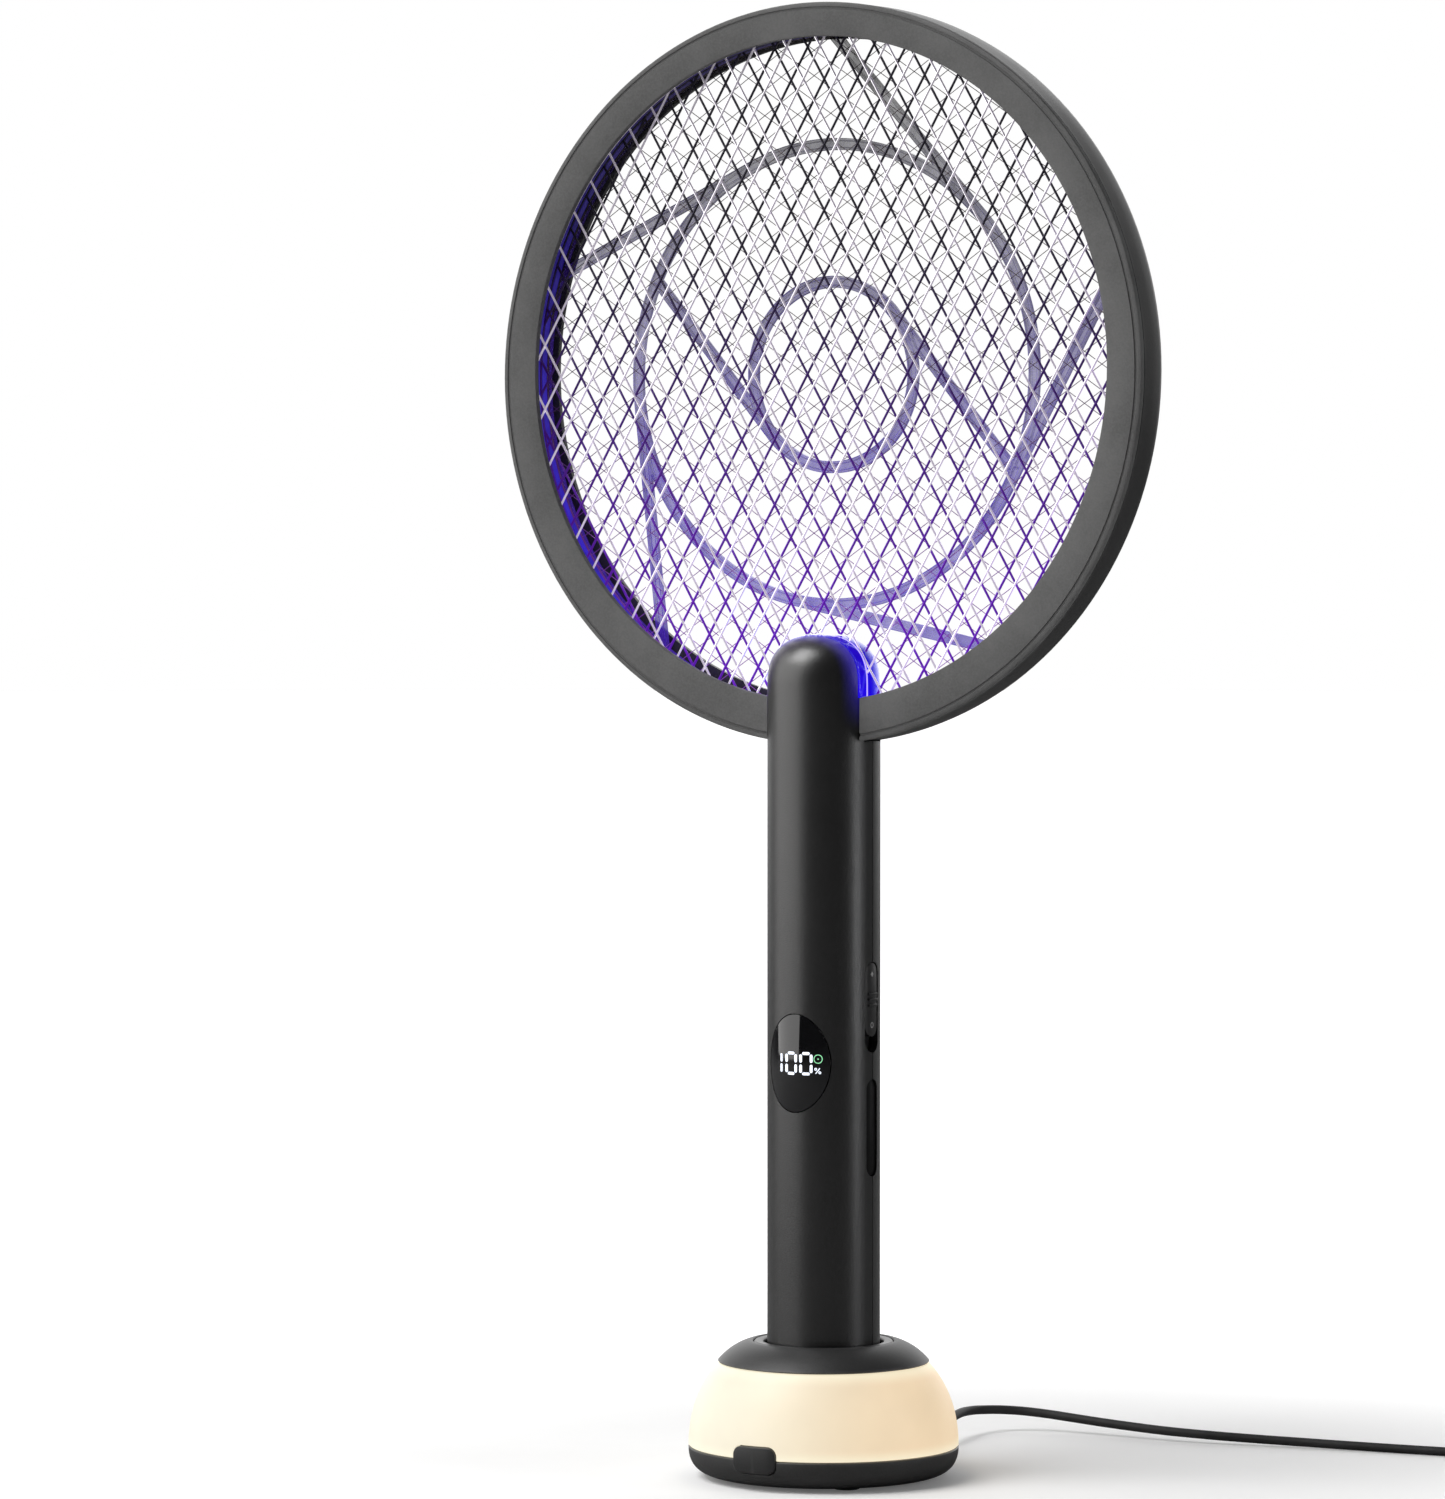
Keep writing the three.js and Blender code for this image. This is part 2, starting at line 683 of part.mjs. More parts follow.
// boards and components behind the display
const boardY = boardDepth - innerRadius;
const boardHalfWidth = Math.sqrt((innerRadius - boardEdge) ** 2 - boardY ** 2);
const componentY = boardY + boardThickness + gap;
const boardBottom = handleScrewLowerZ + bossRadius + bossClearance;
const boardTop = handleScrewUpperZ - bossRadius - bossClearance;
const mainBoard = box(
  -boardHalfWidth,
  boardHalfWidth,
  boardY,
  boardY + boardThickness,
  boardBottom,
  boardTop,
);
piece(swatter, "main_circuit_board", mainBoard, boardGreen);

function component({ halfWidth, rearY, bottom, top }) {
  return box(-halfWidth, halfWidth, componentY, rearY, bottom, top);
}
piece(swatter, "hv_transformer", component(transformer), filmYellow);
piece(swatter, "hv_capacitor", component(capacitor), cellWrap);

const moduleY = displayModule.depth - handleRadius;
const moduleHalfWidth = Math.sqrt(innerRadius ** 2 - moduleY ** 2) - displayModule.edge;
const moduleBox = box(
  -moduleHalfWidth,
  moduleHalfWidth,
  moduleY,
  boardY - gap,
  displayZ - displayModule.halfHeight,
  displayZ + displayModule.halfHeight,
);
piece(swatter, "display_module", moduleBox, componentBlack);
const windowRing = cut(
  rodZ(handleRadius, 0, far, 0, 0, handleSegments),
  rodZ(innerRadius + gap, -1, far + 1, 0, 0, handleSegments),
);
const displayOutline = ellipse(0, displayZ, displayHalfWidth, displayHalfHeight);
const displayPlate = plateY(displayOutline, -handleRadius - 3, -innerRadius / 2, 16);
piece(swatter, "display_window", displayPlate.intersect(windowRing), glossBlack);

// slide switch on the side: a knob in its slot, on a skirt inside the wall
function buildSwitchKnob() {
  const width = switchSlotWidth - 2 * gap;
  const knobTop = switchSlotTop - gap;
  const stem = plateX(stadium(0, knobTop, width, switchKnobHeight), skirtX, handleRadius);
  const round = rodZ(handleRadius - knobSink, 0, far, 0, 0, handleSegments);
  const slotBottom = switchSlotTop - switchSlotHeight;
  const half = switchSlotWidth / 2 + 0.4;
  const skirtTop = switchSlotTop + switchTravel + 0.9;
  const skirt = box(skirtX, skirtX + skirtThickness, -half, half, slotBottom - 1, skirtTop);
  const ridgeZ = knobTop - switchKnobHeight / 2;
  const { rise, halfLength, halfHeight } = switchRidge;
  const ridge = box(
    skirtX + 2,
    handleRadius + rise,
    -halfLength,
    halfLength,
    ridgeZ - halfHeight,
    ridgeZ + halfHeight,
  );
  return join(stem.intersect(round), skirt, ridge);
}
const switchBodyZ = switchSlotTop - switchSlotHeight / 2;
const switchY = componentY + switchStand;
const switchBody = box(
  slideSwitch.x,
  skirtX - finger,
  switchY,
  switchY + slideSwitch.depth,
  switchBodyZ - slideSwitch.halfHeight,
  switchBodyZ + slideSwitch.halfHeight,
);
piece(swatter, "slide_switch_knob", buildSwitchKnob(), shellBlack);
piece(swatter, "slide_switch_body", switchBody, componentBlack);

// press bar on the side
function buildZapButton() {
  const width = zapSlotWidth - 2 * gap;
  const height = zapSlotHeight - 2 * gap;
  const stem = plateX(stadium(0, zapSlotTop - gap, width, height), skirtX, handleRadius);
  const round = rodZ(handleRadius - zapSink, 0, far, 0, 0, handleSegments);
  const middle = zapSlotTop - zapSlotHeight / 2;
  const half = zapSlotWidth / 2 + 0.8;
  const flangeHalf = zapSlotHeight / 2 + 1;
  const flange = box(
    skirtX,
    skirtX + skirtThickness,
    -half,
    half,
    middle - flangeHalf,
    middle + flangeHalf,
  );
  return join(stem.intersect(round), flange);
}
const zapZ = zapSlotTop - zapSlotHeight / 2;
const zapSwitch = box(
  tactSwitch.x,
  skirtX - zapTravel - gap,
  switchY,
  switchY + tactSwitch.depth,
  zapZ - tactSwitch.halfHeight,
  zapZ + tactSwitch.halfHeight,
);
piece(swatter, "zap_button", buildZapButton(), shellBlack);
piece(swatter, "tact_switch", zapSwitch, componentBlack);

// ---------- base ----------

const socketRadius = handleRadius + socketClearance;
const socketOuter = socketRadius + socketWall;
const socketFloorTop = handleBottom - seatGap;
const socketFloorBottom = socketFloorTop - socketFloor;
const capInnerRadius = socketOuter + socketLip + gap;
const floorTop = baseUnderside + baseFloor;
const upperSeamRadius = baseSeamRadius - baseLean;
const upperSeamZ = baseHeight - baseCapHeight;
const baseFlatRadius = baseSeamRadius - baseTurnUp;

function footPlaces() {
  return [1, 3, 5, 7].map((k) => polar(baseFlatRadius - footInset, (k * Math.PI) / 4));
}

function buttonPrism(grow) {
  const outline = roundedRectangle(
    0,
    lowerSeamZ,
    baseButtonWidth + 2 * grow,
    baseButtonHeight + 2 * grow,
    baseButtonCorner + grow,
  );
  return plateY(outline, -baseSeamRadius - 2, -baseSeamRadius + 6, 4);
}

const baseScrewX = socketOuter - baseScrewInset;
const screwPlaces = [
  ["left", -baseScrewX],
  ["right", baseScrewX],
];

function buildBottomShell() {
  const seam = lowerSeamZ - gap / 2;
  const inner = baseSeamRadius - baseWall;
  const corner = baseFlatRadius - 1;
  const profile = [
    [0, baseUnderside],
    ...bend([baseFlatRadius, baseUnderside], [baseSeamRadius, baseUnderside + 1], [baseSeamRadius, seam], 5),
    ...bend([inner, seam], [inner, floorTop + 0.6], [corner, floorTop], 3),
    [0, floorTop],
  ];
  const bowl = turnedZ(profile, baseSegments);
  const portHole = plateY(roundedRectangle(0, cableZ, 10, 4, 1.5), inner - 8, baseSeamRadius + 3, 4);
  const feet = footPlaces().map(([x, y]) => rodZ(footRadius + gap, 0, baseUnderside + 0.8, x, y));
  const holes = screwPlaces.flatMap(([, x]) => [
    rodZ(baseScrewShank + gap, 0, floorTop + 1, x, 0),
    rodZ(baseScrewHead + gap, 0, baseUnderside + 0.9, x, 0),
  ]);
  return cut(bowl, portHole, ...feet, ...holes, buttonPrism(gap));
}

function buildDiffuser() {
  const bottom = lowerSeamZ + gap / 2;
  const top = upperSeamZ - gap / 2;
  const bulge = baseSeamRadius - 0.2;
  const outer = bend([baseSeamRadius, bottom], [bulge, 24], [upperSeamRadius, top], 6);
  const inner = bend(
    [upperSeamRadius - baseWall, top],
    [bulge - baseWall, 23],
    [baseSeamRadius - baseWall, bottom],
    4,
  );
  const ring = turnedZ([...outer, ...inner, outer[0]], baseSegments);
  return cut(ring, buttonPrism(gap));
}

function buildCap() {
  const bottom = upperSeamZ + gap / 2;
  const rise = baseHeight - bottom;
  const under = upperSeamRadius - baseWall;
  const lipZ = baseHeight - capLip;
  const outer = bend(
    [upperSeamRadius, bottom],
    [upperSeamRadius - 3.7, bottom + 0.75 * rise],
    [capInnerRadius, baseHeight],
    6,
  );
  const inner = bend([capInnerRadius, lipZ - lipDepth], [under - 2.5, bottom + 2], [under, bottom], 3);
  const lip = [
    [capInnerRadius, lipZ],
    [socketOuter + gap, lipZ],
    [socketOuter + gap, lipZ - lipDepth],
  ];
  return turnedZ([...outer, ...lip, ...inner, outer[0]], baseSegments);
}

function buildSocketCup() {
  const flangeBottom = baseHeight - capLip + gap;
  const top = baseHeight - 0.1;
  const cup = turnedZ(
    [
      [0, socketFloorBottom],
      [socketOuter, socketFloorBottom],
      [socketOuter, flangeBottom],
      [socketOuter + socketLip, flangeBottom],
      [socketOuter + socketLip, top - 0.3],
      [socketOuter + socketLip - 0.3, top],
      [socketRadius + 0.5, top],
      [socketRadius, top - 0.5],
      [socketRadius, socketFloorTop],
      [0, socketFloorTop],
    ],
    handleSegments,
  );
  const keyRib = box(-1.6, 1.6, socketRadius - 0.7, socketRadius + 0.5, socketFloorTop, top - 3);
  const postBottom = floorTop + gap;
  const posts = screwPlaces.map(([, x]) => rodZ(basePost, postBottom, socketFloorBottom + 0.1, x, 0));
  const pins = contacts.map(([, x]) => rodZ(chargingPin + gap, 0, far, x));
  const pilots = screwPlaces.map(([, x]) => rodZ(baseScrewShank + gap, 0, socketFloorBottom - 0.2, x, 0));
  return cut(join(cup, keyRib, ...posts), ...pins, ...pilots);
}

piece(base, "base_bottom_shell", buildBottomShell(), baseCharcoal);
piece(base, "base_diffuser", buildDiffuser(), opal);
piece(base, "base_cap", buildCap(), baseCharcoal);
piece(base, "socket_cup", buildSocketCup(), baseCharcoal);

const chargingBoardZ = floorTop + gap;
const chargingBoardTop = chargingBoardZ + chargingBoardThickness;
const portY = baseSeamRadius - baseWall - port.recess; // the port's mouth, just inside the wall
const boardEndY = portY - port.depth - gap;
const chargingBoardHalf = baseScrewX - basePost - postClearance;
const chargingBoard = box(
  -chargingBoardHalf,
  chargingBoardHalf,
  -contactSpacing,
  boardEndY,
  chargingBoardZ,
  chargingBoardTop,
);
piece(base, "charging_board", chargingBoard, boardGreen);
for (const [side, x] of contacts) {
  const pin = rodZ(chargingPin, chargingBoardTop + gap, handleBottom - 2 * gap, x);
  piece(base, `charging_pin_${side}`, pin, gold);
}
for (const [side, x] of screwPlaces) {
  const shank = rodZ(baseScrewShank, baseUnderside + 0.5, socketFloorBottom - 0.6, x, 0);
  const head = rodZ(baseScrewHead, baseUnderside + 0.1, baseUnderside + 0.6, x, 0);
  piece(base, `base_screw_${side}`, join(shank, head), steel);
}

// charging port, a metal sleeve around the plug's tip
const sleeve = cut(
  box(
    -port.halfWidth,
    port.halfWidth,
    portY - port.depth,
    portY,
    cableZ - port.halfHeight,
    cableZ + port.halfHeight,
  ),
  box(
    -plugTip.halfWidth - gap,
    plugTip.halfWidth + gap,
    portY - port.depth + port.back,
    portY + 1,
    cableZ - plugTip.halfHeight - gap,
    cableZ + plugTip.halfHeight + gap,
  ),
);
piece(base, "usb_socket", sleeve, steel);

// lamp ring
const lightBoardZ = lowerSeamZ + lightBoardRise;
const lightBoardTop = lightBoardZ + lightBoardThickness;
const lightBoardInner = socketOuter + 2;
const lightBoardOuter = upperSeamRadius - 1.4;
const lightBoard = cut(
  rodZ(lightBoardOuter, lightBoardZ, lightBoardTop, 0, 0, handleSegments),
  rodZ(lightBoardInner, 0, far, 0, 0, handleSegments),
);
piece(base, "light_board", lightBoard, lampWhite);
for (let i = 0; i < 4; i += 1) {
  const [x, y] = polar((lightBoardInner + lightBoardOuter) / 2, (i * Math.PI) / 2);
  const half = lightLampHalfWidth;
  const z0 = lightBoardTop + gap;
  const lightLamp = box(x - half, x + half, y - half, y + half, z0, z0 + lightLampHeight);
  piece(base, `light_led_${i + 1}`, lightLamp, lampWhite);
}

// ballast, open at the rear for the charging board
const ballastOuter = upperSeamRadius - 0.9;
const ballast = cut(
  rodZ(ballastOuter, floorTop + gap, weightTop, 0, 0, handleSegments),
  rodZ(socketOuter + 1, 0, far, 0, 0, handleSegments),
  box(-chargingBoardHalf - finger, chargingBoardHalf + finger, 0, far, 0, far),
);
piece(base, "base_weight", ballast, steel);

// mood light button on the front, across the lower seam
const flangeY = baseButtonFlange.depth - baseSeamRadius;
const flangeRearY = flangeY + baseButtonFlange.thickness;
function buildBaseButton() {
  const face = rodZ(baseSeamRadius + 0.5, 0, upperSeamZ, 0, 0, baseSegments);
  const halfWidth = baseButtonWidth / 2 + baseButtonFlange.margin;
  const flange = box(-halfWidth, halfWidth, flangeY, flangeRearY, lowerSeamZ - 4.3, lowerSeamZ + 4.6);
  const stem = buttonPrism(0).intersect(box(-far, far, -far, flangeY + 0.5, 0, far));
  return join(stem.intersect(face), flange);
}
const buttonSwitchY = flangeRearY + baseButtonTravel + gap;
const buttonSwitch = box(-3, 3, buttonSwitchY, buttonSwitchY + 2.6, lowerSeamZ - 2.4, lowerSeamZ + 2.6);
piece(base, "base_button", buildBaseButton(), baseCharcoal);
piece(base, "base_button_switch", buttonSwitch, componentBlack);

footPlaces().forEach(([x, y], i) => {
  piece(base, `foot_pad_${i + 1}`, rodZ(footRadius, 0, baseUnderside + 0.5, x, y), rubber);
});

// ---------- charging cable ----------

const cableRadius = cableDiameter / 2;

function buildCable() {
  const curve = new THREE.CatmullRomCurve3(
    cableRoute.map((p) => new THREE.Vector3(...p)),
    false,
    "centripetal",
  );
  const section = new THREE.Shape();
  for (let i = 0; i < 8; i += 1) {
    const [u, v] = polar(cableRadius, (i * Math.PI) / 4);
    if (i === 0) section.moveTo(u, v);
    else section.lineTo(u, v);
  }
  section.closePath();
  return solid(new THREE.ExtrudeGeometry(section, { steps: 30, extrudePath: curve, bevelEnabled: false }));
}

function buildCoil() {
  const width = coilColumns * cableDiameter;
  const inner = coilMeanRadius - width / 2;
  const outer = coilMeanRadius + width / 2;
  const height = coilLayers * cableDiameter;
  const ring = turnedZ(
    [
      [inner, 0],
      [outer, 0],
      [outer, height],
      [inner, height],
      [inner, 0],
    ],
    coilSegments,
  );
  return ring.translate([coilCentre.x, coilCentre.y, 0]);
}

// A plug's moulded body with its tapered relief, along Y.
function plugBody(x, z, y0, y1, width, height, reliefEnd) {
  const outline = roundedRectangle(x, z, width, height, Math.min(width, height) * 0.35);
  const moulding = plateY(outline, Math.min(y0, y1), Math.max(y0, y1), 5);
  const away = Math.sign(reliefEnd - y1);
  const length = Math.abs(reliefEnd - y1) + 0.5;
  const thin = cableRadius + reliefWall;
  const thick = thin + 0.8;
  const ends = away > 0 ? [thin, thick] : [thick, thin];
  const cone = new THREE.CylinderGeometry(...ends, length, 12);
  const middle = reliefEnd - (away * length) / 2;
  return join(moulding, solid(cone.translate(x, middle, z)));
}

const plugC = join(
  plugBody(
    0,
    cableZ,
    baseSeamRadius + 0.7,
    plugCBody.endY,
    plugCBody.width,
    plugCBody.height,
    cableRoute[0][1] - gap,
  ),
  box(
    -plugTip.halfWidth,
    plugTip.halfWidth,
    portY - port.depth + port.back + gap,
    baseSeamRadius + 1.5,
    cableZ - plugTip.halfHeight,
    cableZ + plugTip.halfHeight,
  ),
);
piece(cable, "cable_plug_c", plugC, rubber);
piece(cable, "charging_cable", buildCable(), rubber);
piece(cable, "charging_cable_coil", buildCoil(), rubber);

const plugAX = coilCentre.x + coilMeanRadius + 1.5 * cableDiameter;
const plugAReliefY = coilCentre.y + 12;
const plugABodyY = plugAReliefY + plugABody.reliefLength;
const plugAEndY = plugABodyY + plugABody.length;
const plugA = join(
  plugBody(plugAX, plugAZ, plugAEndY, plugABodyY, plugABody.width, plugABody.height, plugAReliefY),
  box(
    plugAX - plugATip.halfWidth,
    plugAX + plugATip.halfWidth,
    plugAEndY - 1,
    plugAEndY + plugATip.length,
    plugAZ - plugATip.halfHeight,
    plugAZ + plugATip.halfHeight,
  ),
);
piece(cable, "cable_plug_a", plugA, rubber);

const assembly = new THREE.Group();
assembly.add(swatter, base, cable);

export default assembly;
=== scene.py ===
import bpy, bmesh, math
from mathutils import Matrix, Vector


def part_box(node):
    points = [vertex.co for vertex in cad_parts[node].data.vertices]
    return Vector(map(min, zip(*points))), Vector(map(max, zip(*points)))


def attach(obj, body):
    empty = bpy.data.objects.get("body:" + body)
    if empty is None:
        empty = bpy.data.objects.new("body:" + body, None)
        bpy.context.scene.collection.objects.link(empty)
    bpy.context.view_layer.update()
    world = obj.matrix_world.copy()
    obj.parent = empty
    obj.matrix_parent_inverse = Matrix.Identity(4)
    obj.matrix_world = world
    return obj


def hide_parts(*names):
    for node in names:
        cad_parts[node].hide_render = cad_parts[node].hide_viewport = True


# Electric fly swatter standing in its lit charging base, with its charging cable.
# Metres, +Z up, display towards -Y, switches towards +X, cable towards +Y.

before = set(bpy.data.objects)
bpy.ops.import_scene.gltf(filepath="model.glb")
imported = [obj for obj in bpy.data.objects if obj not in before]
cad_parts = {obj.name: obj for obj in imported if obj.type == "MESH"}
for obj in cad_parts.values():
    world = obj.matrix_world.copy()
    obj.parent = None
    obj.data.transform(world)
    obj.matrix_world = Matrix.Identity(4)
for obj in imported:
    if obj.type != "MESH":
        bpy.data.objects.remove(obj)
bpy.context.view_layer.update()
mm = 0.001
print("frame loaded:", len(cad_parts), "nodes")

# ---- camera and light ----

camera = {"place": (0.9703, -1.6336, 0.278), "turn": 31.6, "dip": 1.975, "lens": 156.66}

def addCamera():
    data = bpy.data.cameras.new("mainCamera")
    data.lens = camera["lens"]
    data.sensor_width = 36
    data.clip_end = 30
    eye = bpy.data.objects.new("mainCamera", data)
    eye.location = camera["place"]
    eye.rotation_euler = (math.radians(90 - camera["dip"]), 0, math.radians(camera["turn"]))
    bpy.context.collection.objects.link(eye)
    bpy.context.scene.camera = eye

lights = [
    {"name": "softWallLeft", "place": (-0.95, -0.76, 0.64), "size": (1.8, 1.3), "power": 14, "colour": (1, 0.99, 0.98)},
    {"name": "stripRight", "place": (1.46, 0.34, 0.45), "size": (0.12, 1.3), "power": 5, "colour": (0.98, 0.99, 1)},
    {"name": "topSoft", "place": (-0.55, -0.7, 1.45), "size": (0.9, 0.9), "power": 17, "colour": (1, 1, 1)},
]
worldLight = {"front": 0.03, "back": 1.8, "backFrom": 0.4, "backTo": 0.95, "seen": 1.0}

def addLights():
    for spec in lights:
        data = bpy.data.lights.new(spec["name"], "AREA")
        data.shape = "RECTANGLE"
        data.size, data.size_y = spec["size"]
        data.energy = spec["power"]
        data.color = spec["colour"]
        lamp = bpy.data.objects.new(spec["name"], data)
        lamp.location = spec["place"]
        aim = Vector((0, 0, 0.22)) - Vector(spec["place"])
        lamp.rotation_euler = aim.to_track_quat("-Z", "Y").to_euler()
        bpy.context.collection.objects.link(lamp)

# ---- nodes for materials ----

def addNode(tree, kind, values=None, **settings):
    node = tree.nodes.new(kind)
    for key, value in settings.items():
        setattr(node, key, value)
    for socket, value in (values or {}).items():
        if isinstance(value, bpy.types.NodeSocket):
            tree.links.new(value, node.inputs[socket])
        else:
            node.inputs[socket].default_value = value
    return node

def addWorld():
    world = bpy.data.worlds.new("softStudio")
    bpy.context.scene.world = world
    world.use_nodes = True
    tree = world.node_tree
    tree.nodes.clear()
    toBack = Vector(camera["place"]) * -1
    toBack.z = 0
    toBack.normalize()
    coords = addNode(tree, "ShaderNodeTexCoord")
    facing = addNode(tree, "ShaderNodeVectorMath", {0: coords.outputs["Generated"], 1: toBack}, operation="DOT_PRODUCT")
    level = addNode(tree, "ShaderNodeMapRange", {
        "Value": facing.outputs["Value"], "From Min": worldLight["backFrom"], "From Max": worldLight["backTo"],
        "To Min": worldLight["front"], "To Max": worldLight["back"]}, interpolation_type="SMOOTHSTEP")
    path = addNode(tree, "ShaderNodeLightPath")
    seen = addNode(tree, "ShaderNodeMath", {0: path.outputs["Is Camera Ray"], 1: path.outputs["Is Transmission Ray"]},
                   operation="MAXIMUM")
    strength = addNode(tree, "ShaderNodeMix", {
        0: seen.outputs[0], 2: level.outputs["Result"], 3: worldLight["seen"]})
    sky = addNode(tree, "ShaderNodeBackground", {"Color": (1, 1, 1, 1), "Strength": strength.outputs[0]})
    out = addNode(tree, "ShaderNodeOutputWorld", {"Surface": sky.outputs[0]})

def startMaterial(name):
    material = bpy.data.materials.new(name)
    material.use_nodes = True
    tree = material.node_tree
    shader = tree.nodes["Principled BSDF"]
    coords = addNode(tree, "ShaderNodeTexCoord")
    return material, tree, shader, coords.outputs["Object"]

def noise(tree, place, scale, detail=4, roughness=0.55):
    made = addNode(tree, "ShaderNodeTexNoise", {
        "Vector": place, "Scale": scale, "Detail": detail, "Roughness": roughness})
    return made.outputs["Fac"]

def mapRange(tree, value, low, high, toLow, toHigh, smooth=False):
    made = addNode(tree, "ShaderNodeMapRange", {
        "Value": value, "From Min": low, "From Max": high, "To Min": toLow, "To Max": toHigh})
    if smooth:
        made.interpolation_type = "SMOOTHSTEP"
    return made.outputs["Result"]

def maths(tree, operation, first, second=0.0):
    made = addNode(tree, "ShaderNodeMath", {0: first, 1: second}, operation=operation)
    return made.outputs[0]

def mixColour(tree, factor, first, second, blend="MIX"):
    made = addNode(tree, "ShaderNodeMix", {0: factor, 6: first, 7: second}, data_type="RGBA", blend_type=blend)
    return made.outputs[2]

def bumpFrom(tree, height, distance, strength=1.0, before=None):
    values = {"Height": height, "Distance": distance, "Strength": strength}
    if before is not None:
        values["Normal"] = before
    return addNode(tree, "ShaderNodeBump", values).outputs["Normal"]

def rgb(red, green, blue):
    return (red, green, blue, 1)

# Corners rubbed a little paler, in patches.
def edgeWear(tree, place):
    corner = mapRange(tree, addNode(tree, "ShaderNodeNewGeometry").outputs["Pointiness"], 0.52, 0.6, 0, 1)
    patchy = mapRange(tree, noise(tree, place, 55, 4), 0.42, 0.62, 0.15, 1)
    return maths(tree, "MULTIPLY", corner, patchy)

# Moulded plastic: fine spark-eroded grain, faint flow clouds, and a little handling polish in the roughness.
def plastic(name, dark, light, roughness, grain=0.00035, grainDepth=0.00003, spread=0.06, specular=0.5, wear=1.0):
    material, tree, shader, place = startMaterial(name)
    clouds = noise(tree, place, 38, 5, 0.6)
    fine = noise(tree, place, 1 / grain, 3, 0.6)
    handled = noise(tree, place, 11, 3)
    tone = mixColour(tree, mapRange(tree, clouds, 0.3, 0.7, 0, 1), rgb(*dark), rgb(*light))
    speckle = mapRange(tree, fine, 0.35, 0.75, 0.86, 1.14)
    grey = addNode(tree, "ShaderNodeCombineColor", {0: speckle, 1: speckle, 2: speckle}).outputs[0]
    speckled = mixColour(tree, 1.0, tone, grey, "MULTIPLY")
    worn = maths(tree, "MULTIPLY", edgeWear(tree, place), wear)
    rubbed = rgb(*[0.02 + part * 1.5 for part in light])
    tree.links.new(mixColour(tree, worn, speckled, rubbed), shader.inputs["Base Color"])
    satin = mapRange(tree, handled, 0.3, 0.7, roughness - spread, roughness + spread)
    polish = maths(tree, "MULTIPLY", worn, 0.08)
    tree.links.new(maths(tree, "SUBTRACT", satin, polish), shader.inputs["Roughness"])
    tree.links.new(bumpFrom(tree, fine, grainDepth), shader.inputs["Normal"])
    shader.inputs["Specular IOR Level"].default_value = specular
    return material

# How strongly the lamp's violet light reaches a place on the head: full at the foot of the opening, none near the top.
def glowByHeight(tree, place, low=0.225, high=0.36, power=1.4):
    parts = addNode(tree, "ShaderNodeSeparateXYZ", {0: place})
    level = mapRange(tree, parts.outputs["Z"], low, high, 1, 0, smooth=True)
    return maths(tree, "POWER", level, power)

# Drawn wire metal with painted light: where glowByHeight is high its colour turns towards the glow colour and it glows,
# painted lamp light rather than light from a lamp.
def litMetal(name, colour, roughness, glowColour, glowStrength, low, high, lampTint=0.6):
    material, tree, shader, place = startMaterial(name)
    drawn = noise(tree, place, 900, 3)
    stained = noise(tree, place, 60, 4)
    glow = glowByHeight(tree, place, low, high)
    bright = mixColour(tree, mapRange(tree, stained, 0.3, 0.7, 0, 1), rgb(*colour), rgb(*[c * 0.82 for c in colour]))
    # Painted lamp light: the base colour shifts towards the glow colour where the glow is strong.
    lampTinted = mixColour(tree, maths(tree, "MULTIPLY", glow, lampTint), bright, rgb(*glowColour))
    tree.links.new(lampTinted, shader.inputs["Base Color"])
    shader.inputs["Metallic"].default_value = 1
    tree.links.new(mapRange(tree, drawn, 0.3, 0.7, roughness - 0.06, roughness + 0.06), shader.inputs["Roughness"])
    tree.links.new(bumpFrom(tree, drawn, 0.00002), shader.inputs["Normal"])
    # Painted glow: the emission stands in for the lamp's light falling on the wire.
    shader.inputs["Emission Color"].default_value = rgb(*glowColour)
    tree.links.new(maths(tree, "MULTIPLY", glow, glowStrength), shader.inputs["Emission Strength"])
    return material

def metal(name, colour, roughness, wear=0.06, scale=250):
    material, tree, shader, place = startMaterial(name)
    worn = noise(tree, place, scale, 5, 0.65)
    shade = mixColour(tree, mapRange(tree, worn, 0.3, 0.7, 0, 1), rgb(*colour), rgb(*[c * 0.75 for c in colour]))
    tree.links.new(shade, shader.inputs["Base Color"])
    shader.inputs["Metallic"].default_value = 1
    tree.links.new(mapRange(tree, worn, 0.3, 0.7, roughness - wear, roughness + wear), shader.inputs["Roughness"])
    tree.links.new(bumpFrom(tree, worn, 0.00003), shader.inputs["Normal"])
    return material

# Smoked clear plastic of the rear guard: denser where it curves away, violet where the lamp lights it.
def guardPlastic():
    material, tree, shader, place = startMaterial("guardClear")
    glow = glowByHeight(tree, place, 0.25, 0.41, 1.0)
    cloudy = noise(tree, place, 90, 4)
    edge = addNode(tree, "ShaderNodeLayerWeight", {"Blend": 0.4}).outputs["Facing"]
    tone = mixColour(tree, glow, rgb(0.016, 0.014, 0.024), rgb(0.07, 0.03, 0.42))
    tree.links.new(tone, shader.inputs["Base Color"])
    tree.links.new(mapRange(tree, cloudy, 0.3, 0.7, 0.1, 0.25), shader.inputs["Roughness"])
    tree.links.new(bumpFrom(tree, cloudy, 0.0002), shader.inputs["Normal"])
    dense = maths(tree, "ADD", mapRange(tree, edge, 0.2, 0.7, 0.56, 0.96), mapRange(tree, cloudy, 0.3, 0.7, -0.08, 0.08))
    tree.links.new(dense, shader.inputs["Alpha"])
    shader.inputs["Emission Color"].default_value = rgb(0.22, 0.08, 1.0)
    tree.links.new(maths(tree, "MULTIPLY", glow, 0.14), shader.inputs["Emission Strength"])
    return material

